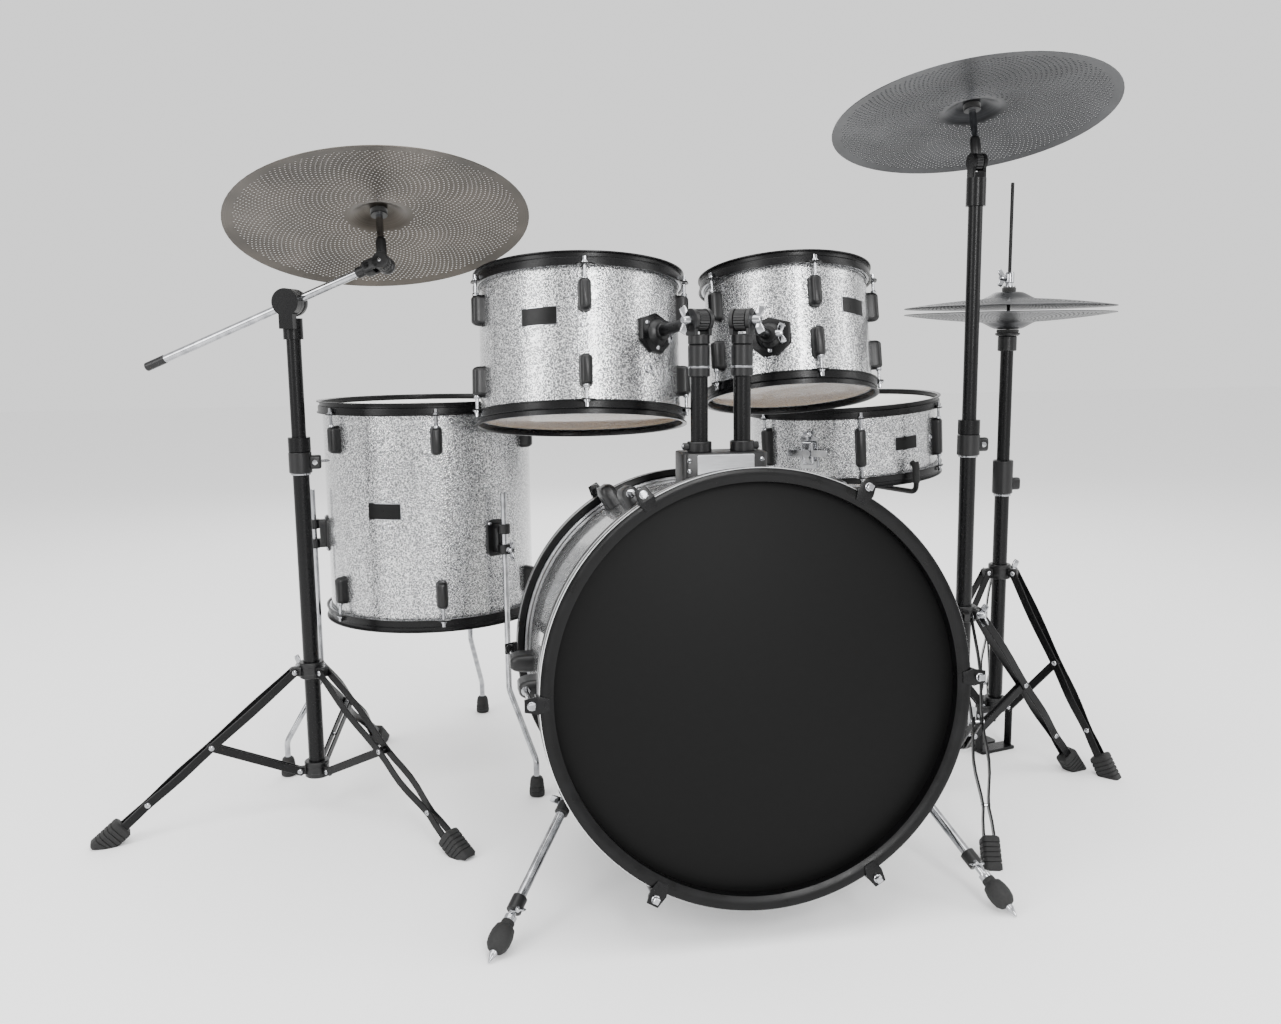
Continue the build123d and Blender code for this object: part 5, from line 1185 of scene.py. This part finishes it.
# bell, bow and rim turned in one sheet, then perforated
def cymbal(name, radius, place, body, node, finish):
    top = [(6.0, bellTop), (seatRadius + 2, bellTop)]
    top += arc(top[-1], (bellRadius, bowRise), 0.0, -0.3, 6)
    top += arc(top[-1], (radius, 0.0), -0.06, -0.16, 9)
    under = [(r, z - sheetThick) for r, z in reversed(top)]
    verts, faces, kinds = lathe(top + under, finish, sides=72)
    blank = bpy.data.meshes.new(name + "Blank")
    blank.from_pydata([tuple(v) for v in verts], [], faces)
    work = bmesh.new()
    work.from_mesh(blank)
    bmesh.ops.recalc_face_normals(work, faces=work.faces)
    work.to_mesh(blank)
    work.free()
    count = int(math.pi * ((radius * holes["solidRim"]) ** 2 - holes["inner"] ** 2) / holes["pitch"] ** 2)
    mesh = runTree(sunflower, blank, {"Holes": count, "Inner Radius": holes["inner"],
                                      "Pitch": holes["pitch"], "Hole Radius": holes["radius"],
                                      "Finish": finishes[finish]})
    rings = mesh.attributes.new("grooveRadius", "FLOAT", "POINT")
    rings.data.foreach_set("value", [math.hypot(v.co.x, v.co.y) / 1000 for v in mesh.vertices])
    mesh.transform(Matrix.Translation(kitShift) @ Matrix.Scale(0.001, 4) @ place)
    print(name, count, len(mesh.polygons))
    return placeMesh(name, mesh, body, [node], 38.0)


cymbalRadii = {"left": 228.6, "crash": 215.9, "hat": 177.8}
reachOf = {"left": 63.0, "crash": 68.0}     # from a tilter's pivot to the plane of its cymbal's rim
boomSizes = dict(pivot=(-622.0, 460.0, 819.0), turn=-16.0, rise=21.6, front=158.0, tail=262.0, radius=6.35)
boomTurn, boomRise = math.radians(boomSizes["turn"]), math.radians(boomSizes["rise"])
boomLine = Vector((math.cos(boomTurn) * math.cos(boomRise), math.sin(boomTurn) * math.cos(boomRise),
                   math.sin(boomRise)))
boomPivot = Vector(boomSizes["pivot"])
boomTip = boomPivot + boomLine * boomSizes["front"]
leftAxis = Vector((-0.037, 0.354, 0.935)).normalized()
tiltLine = boomLine.cross(leftAxis).normalized()
crashPivot = Vector((424.0, 304.0, 1020.0))
crashAxis = Vector((-0.012, 0.229, 0.973)).normalized()
crashHinge = upright.cross(crashAxis).normalized()
cymbal("leftCymbal", cymbalRadii["left"], along(boomTip + leftAxis * reachOf["left"], leftAxis, tiltLine),
       "left_cymbal", "left_cymbal", "warmSteel")
cymbal("crashCymbal", cymbalRadii["crash"], along(crashPivot + crashAxis * reachOf["crash"], crashAxis,
                                                  crashHinge), "crash_cymbal", "crash_cymbal", "darkSteel")
hatPlace = standPoint(hat, 0)
hatTopPlane, hatBottomPlane = 806.0, 794.0
cymbal("hihatTopCymbal", cymbalRadii["hat"], Matrix.Translation(hatPlace + upright * hatTopPlane),
       "hihat_rod", "hihat_top_cymbal", "darkSteel")
cymbal("hihatBottomCymbal", cymbalRadii["hat"],
       Matrix.Translation(hatPlace + upright * hatBottomPlane) @ Matrix.Diagonal((1, 1, -1, 1)),
       "hihat_bottom_cymbal", "hihat_bottom_cymbal", "darkSteel")


def felt(low, high, radius, bore, place):
    soft = 1.8
    return lathe([(bore, low), (radius - soft, low), (radius - 0.5, low + 0.6), (radius, low + soft),
                  (radius, high - soft), (radius - 0.5, high - 0.6), (radius - soft, high), (bore, high)],
                 "woolFelt", place, 40)


# ratchet hub, sleeve, cup, two felts, stud and wing nut
def tilterParts(pivot, axis, line, reach):
    place = along(pivot, axis, line)
    seat = reach + bellTop - sheetThick - 0.3
    above = reach + bellTop + 0.4
    parts = [lathe([(3, -5.8), (12, -5.8), (12.8, -5), (12.8, 5), (12, 5.8), (3, 5.8)], "mouldedNylon",
                   along(pivot, line), 72,
                   warp=lambda turn, r, z: (r + (0.4 * math.cos(20 * turn) if r > 12.5 else 0), z)),
             lathe([(0, 8), (7.2, 8), (8.0, 12), (8.0, 34), (7.0, 38), (5.5, 40), (5.5, seat - 10),
                    (0, seat - 10)], ["mouldedNylon"] * 5 + ["chromePlate"] * 2, place, 32, closed=False),
             bar(place @ Vector((0, 0, seat - 12)), place @ Vector((0, 0, above + 24)), 3.0, "chromePlate",
                 20), lathe([(3, seat - 10.5), (12.6, seat - 10.5), (13, seat - 9.8), (13, seat - 8.4),
                             (3, seat - 8.4)], "mouldedNylon", place, 40),
             felt(seat - 8.2, seat, 13.0, 3.4, place), felt(above, above + 8, 13.0, 3.4, place),
             tube(place @ Vector((0, 0, seat - 1)), place @ Vector((0, 0, above + 1)), 4.6, 3.1,
                  "mouldedNylon")]
    nut = place @ Matrix.Translation((0, 0, above + 8.3))
    parts.append(lathe([(3.1, 0), (7, 0), (7, 3), (5.6, 5), (5.2, 10), (3.1, 10)], "chromePlate", nut, 32))
    for side in (-1, 1):
        wing = nut @ Matrix.Translation((side * 4.4, 0, 3.5)) @ Matrix.Rotation(side * math.radians(55), 4,
                                                                                "Y")
        parts.append(slab(9, 3.2, 1.5, [(0, 0.3), (1.5, 0), (9, 0), (12, 1.0)], "chromePlate", wing, 4))
    return parts


def forkParts(tip, back, line):
    # two cheeks, the yoke behind them and a round clamp knob on the pin
    parts = []
    for side in (-1, 1):
        face = tip + line * (side * 6.4)
        parts.append(lathe([(0, 0), (12.4, 0), (13, 0.6), (13, 4.2), (12.2, 5), (0, 5)], "mouldedNylon",
                           along(face, line * side), 40, closed=False))
        cheek = axes(tip - back * 26 + line * (side * 8.9), line, back.cross(line), back)
        parts.append(slab(5, 18, 1.5, [(0, 0), (26, 0)], "mouldedNylon", cheek))
    yoke = axes(tip - back * 30, line, back.cross(line), back)
    parts.append(slab(22.8, 20, 5, [(0, 1.2), (1.2, 0), (12, 0), (14, 1.0)], "mouldedNylon", yoke))
    parts.append(bar(tip - line * 12, tip + line * 12, 3.0, "chromePlate", 20))
    knob = along(tip - line * 11, -line)
    parts.append(lathe([(0, 0), (9.5, 0), (12.5, 2.2), (13.2, 6), (12.0, 10), (8.5, 13.2), (4, 14.6),
                        (0, 15)], "mouldedNylon", knob, 40, closed=False))
    return parts


hingeLine = Vector((-math.sin(boomTurn), math.cos(boomTurn), 0))
boomEnd = boomPivot - boomLine * boomSizes["tail"]
armParts = [lathe([(4.1, 0), (20, 0), (21, 1), (21, 8), (19.6, 9.2), (19.6, 15), (21, 16), (21, 23),
                   (20, 24), (4.1, 24)], "mouldedNylon", along(boomPivot - hingeLine * 10, hingeLine), 56),
            bar(boomEnd + boomLine * 12, boomPivot - boomLine * 18, boomSizes["radius"], "chromePlate", 32),
            bar(boomEnd, boomEnd + boomLine * 36, 7.0, "mouldedNylon", 32, 1.4),
            bar(boomPivot + boomLine * 18, boomTip - boomLine * 24, boomSizes["radius"], "chromePlate", 32),
            bar(boomTip - boomLine * 44, boomTip - boomLine * 22, 8.6, "mouldedNylon", 32, 1.4)]
armParts += forkParts(boomTip, boomLine, tiltLine)
piece("boomArm", armParts, "boom_arm", ["boom_arm"])
piece("boomTilter", tilterParts(boomTip, leftAxis, tiltLine, reachOf["left"]), "boom_tilter",
      ["boom_tilter"])
piece("crashTilter", tilterParts(crashPivot, crashAxis, crashHinge, reachOf["crash"]), "crash_tilter",
      ["crash_tilter"])
print("cymbals")

# Hi-hat rod and clutch.
hatRod = dict(low=54.0, top=1017.0, radius=3.0)
low = hatTopPlane + bellTop
rodParts = [bar(hatPlace + upright * hatRod["low"], hatPlace + upright * hatRod["top"], hatRod["radius"],
                "powderCoat", 20, 0.8), felt(low - 1.2 - 9, low - 1.2 - 1.0, 10.0, 3.0,
                                             Matrix.Translation(hatPlace)),
            felt(low + 0.2, low + 8, 12.0, 3.0, Matrix.Translation(hatPlace)),
            lathe([(0, low + 8), (10, low + 8), (10.6, low + 8.6), (10.6, low + 10.4), (6.4, low + 11.2),
                   (6.4, low + 15), (8, low + 16.5), (8, low + 32), (6.8, low + 34), (0, low + 34)],
                  "chromePlate", Matrix.Translation(hatPlace), 40, closed=False),
            lathe([(3, low - 12.5), (8.6, low - 12.5), (9, low - 12), (9, low - 10.2), (3, low - 10.2)],
                  "chromePlate", Matrix.Translation(hatPlace), 32)]
rodParts += wingScrew(hatPlace + Vector((-8, 0, low + 24)), (-1, 0, 0), "chromePlate", 1.0, 1.0)
piece("hihatRod", rodParts, "hihat_rod", ["hihat_rod"])

# Hi-hat stand's base.
hatPedal = dict(turn=105.0, plateOut=150.0, heelOut=268.0, hinge=262.0, hingeHeight=30.0, frameHalf=34)
hatTurn = math.radians(hatPedal["turn"])
hatOut = Vector((math.cos(hatTurn), math.sin(hatTurn), 0))
hatSide = Vector((-hatOut.y, hatOut.x, 0))
hatSeat = hatBottomPlane - bellTop
hatBase = openTripod(hat)


def onHatPlate(out, side, z):
    return axes(hatPlace + hatOut * out + hatSide * side + upright * z, hatOut, hatSide, upright)


hatBase += [tube(hatPlace + upright * 108, hatPlace + upright * 480, tubeRadius, innerRadius, "powderCoat"),
            tube(hatPlace + upright * 478, hatPlace + upright * 538, tubeRadius + 5, innerRadius,
                 "mouldedNylon", soft=1.6), tube(hatPlace + upright * 474, hatPlace + upright * 477.6,
                                                 tubeRadius + 2.4, tubeRadius - 0.2, "chromePlate",
                                                 soft=0.3), tube(hatPlace + upright * 74,
                                                                 hatPlace + upright * (hatSeat - 4),
                                                                 innerRadius, 6.0, "powderCoat"),
            tube(hatPlace + upright * (hatSeat - 38), hatPlace + upright * (hatSeat - 12), innerRadius + 5,
                 6.0, "mouldedNylon", soft=1.4), lathe([(6, hatSeat - 12), (18, hatSeat - 12),
                                                        (21, hatSeat - 9.5), (21, hatSeat - 7),
                                                        (20, hatSeat - 6.4), (6, hatSeat - 6.4)],
                                                       "mouldedNylon", Matrix.Translation(hatPlace), 56),
            lathe([(6, hatSeat - 6.3), (17.5, hatSeat - 6.3), (19, hatSeat - 5), (19, hatSeat - 1.8),
                   (17.5, hatSeat - 0.5), (6, hatSeat - 0.5)], "woolFelt", Matrix.Translation(hatPlace),
                  56), slab(260, 60, 12, [(0, 0.8), (0.8, 0), (5.0, 0), (6, 0.8)], "powderCoat",
                            onHatPlate(hatPedal["plateOut"], 0, 0), 8),
            slab(56, 84, 8, [(0, 0.8), (0.8, 0), (12.4, 0), (14, 1.2)], "powderCoat",
                 onHatPlate(hatPedal["heelOut"], 0, 0), 8), slab(30, 76, 3,
                                                                 [(0, 0.6), (0.8, 0), (5.4, 0), (6, 0.6)],
                                                                 "powderCoat", onHatPlate(0, 0, 0)),
            slab(16, 73, 3, [(0, 0.6), (0.8, 0), (11, 0), (12, 0.8)], "mouldedNylon", onHatPlate(0, 0, 76))]
for side in (-1, 1):
    hatBase.append(slab(16, 5, 1.4, [(5.6, 0), (77, 0)], "powderCoat",
                        onHatPlate(0, side * hatPedal["frameHalf"], 0)))
    hatBase.append(slab(16, 6, 1.4, [(13.6, 0), (34.6, 0), (36, 0.8)], "powderCoat",
                        onHatPlate(hatPedal["hinge"], side * 30, 0)))
    hatBase.append(bar(hatPlace + hatSide * (side * 36.2) + upright * 70,
                       hatPlace + hatSide * (side * 38) + upright * 70, 3.4, "chromePlate", 20))
    for far in (60, 240):
        hatBase.append(screwHead(onHatPlate(far, side * 20, 5.8).translation, (0, 0, 1), 3.6))
hatBase.append(bar(onHatPlate(hatPedal["hinge"], -33, hatPedal["hingeHeight"]).translation,
                   onHatPlate(hatPedal["hinge"], 33, hatPedal["hingeHeight"]).translation, 3.0,
                   "chromePlate", 20))
hatBase += clampLug(hat)
piece("hihatStandBase", hatBase, root, ["hihat_stand_base"])

# Snare stand.
tubeTop = basketPivot.z - 6
snareBase = baseTube(snareStand) + openTripod(snareStand)
place = standPoint(snareStand, 0)
snareBase.append(tube(place + upright * 250, place + upright * (tubeTop - 8), innerRadius - 0.2, 8.0,
                      "chromePlate"))
snareBase.append(bar(place + upright * (tubeTop - 10), place + upright * (tubeTop + 4), 14.0,
                     "mouldedNylon", 40, 1.5))
piece("snareBasket", moved(basket, snareFrame), "snare", ["snare_basket"])
piece("snareStandBase", snareBase, root, ["snare_stand_base"])

# CAD nodes that keep their own mesh.
kept = {
    "boom_stand_upper_tube": "powderCoat", "crash_stand_upper_tube": "powderCoat",
    "hihat_footboard": "brushedZinc", "kick_pedal_frame": "powderCoat",
    "kick_pedal_footboard": "brushedZinc", "kick_pedal_beater": "chromePlate", "snare_lever": "chromePlate",
}
for node, finish in kept.items():
    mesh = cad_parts[node].data
    mesh.materials.clear()
    mesh.materials.append(finishes[finish])

# Stage, lights and camera.
world = bpy.data.worlds.new("studio")
bpy.context.scene.world = world
world.use_nodes = True
world.node_tree.nodes["Background"].inputs["Color"].default_value = (1, 1, 1, 1)
world.node_tree.nodes["Background"].inputs["Strength"].default_value = 1.25
floorMesh = bpy.data.meshes.new("studioFloor")
span = 14.0
floorMesh.from_pydata([(-span, -span, 0), (span, -span, 0), (span, span, 0), (-span, span, 0)], [],
                      [(0, 1, 2, 3)])
studioFloor = bpy.data.objects.new("studioFloor", floorMesh)
bpy.context.scene.collection.objects.link(studioFloor)
paint = bpy.data.materials.new("studioPaper")
paint.use_nodes = True
paintShader = paint.node_tree.nodes["Principled BSDF"]
paintShader.inputs["Base Color"].default_value = (0.96, 0.96, 0.96, 1)
paintShader.inputs["Roughness"].default_value = 0.9
floorMesh.materials.append(paint)


def softLight(name, place, aim, size, power):
    light = bpy.data.lights.new(name, "AREA")
    light.shape = "RECTANGLE"
    light.size, light.size_y = size
    light.energy = power
    thing = bpy.data.objects.new(name, light)
    thing.location = place
    thing.rotation_euler = (Vector(aim) - Vector(place)).to_track_quat("-Z", "Y").to_euler()
    bpy.context.scene.collection.objects.link(thing)


# place, aim, size and watts of each lamp, in metres
lights = {
    "overhead": ((-0.3, -0.6, 3.2), (0, 0, 0.5), (3.2, 2.6), 90),
    "leftBank": ((-3.0, -1.8, 1.9), (0, 0, 0.5), (1.2, 2.4), 70),
    "frontStrip": ((0.35, -3.1, 1.7), (-0.1, 0, 0.6), (0.5, 1.8), 70),
    "rightBank": ((3.0, -1.2, 2.0), (0, 0, 0.5), (1.2, 2.4), 40),
    "backBank": ((0.4, 3.2, 2.2), (0, 0, 0.5), (2.6, 1.6), 50),
}
for name, settings in lights.items():
    softLight(name, *settings)

view = dict(place=(-399.0, -1380.0, 747.0), yaw=9.83, pitch=-8.35, roll=0.69, lens=31.84, sensor=36.0)
eye = Vector(view["place"]) * 0.001 + kitShift
yaw, pitch, roll = (math.radians(view[k]) for k in ("yaw", "pitch", "roll"))
ahead = Vector((math.sin(yaw) * math.cos(pitch), math.cos(yaw) * math.cos(pitch), math.sin(pitch)))
right = Vector((math.cos(yaw), -math.sin(yaw), 0))
up = right.cross(ahead)
turnedRight = right * math.cos(roll) - up * math.sin(roll)
turnedUp = up * math.cos(roll) + right * math.sin(roll)
cameraData = bpy.data.cameras.new("camera")
cameraData.lens, cameraData.sensor_width = view["lens"], view["sensor"]
camera = bpy.data.objects.new("camera", cameraData)
bpy.context.scene.collection.objects.link(camera)
camera.matrix_world = axes(eye, turnedRight, turnedUp, -ahead)
bpy.context.scene.camera = camera
print("pieces", pieceCount)
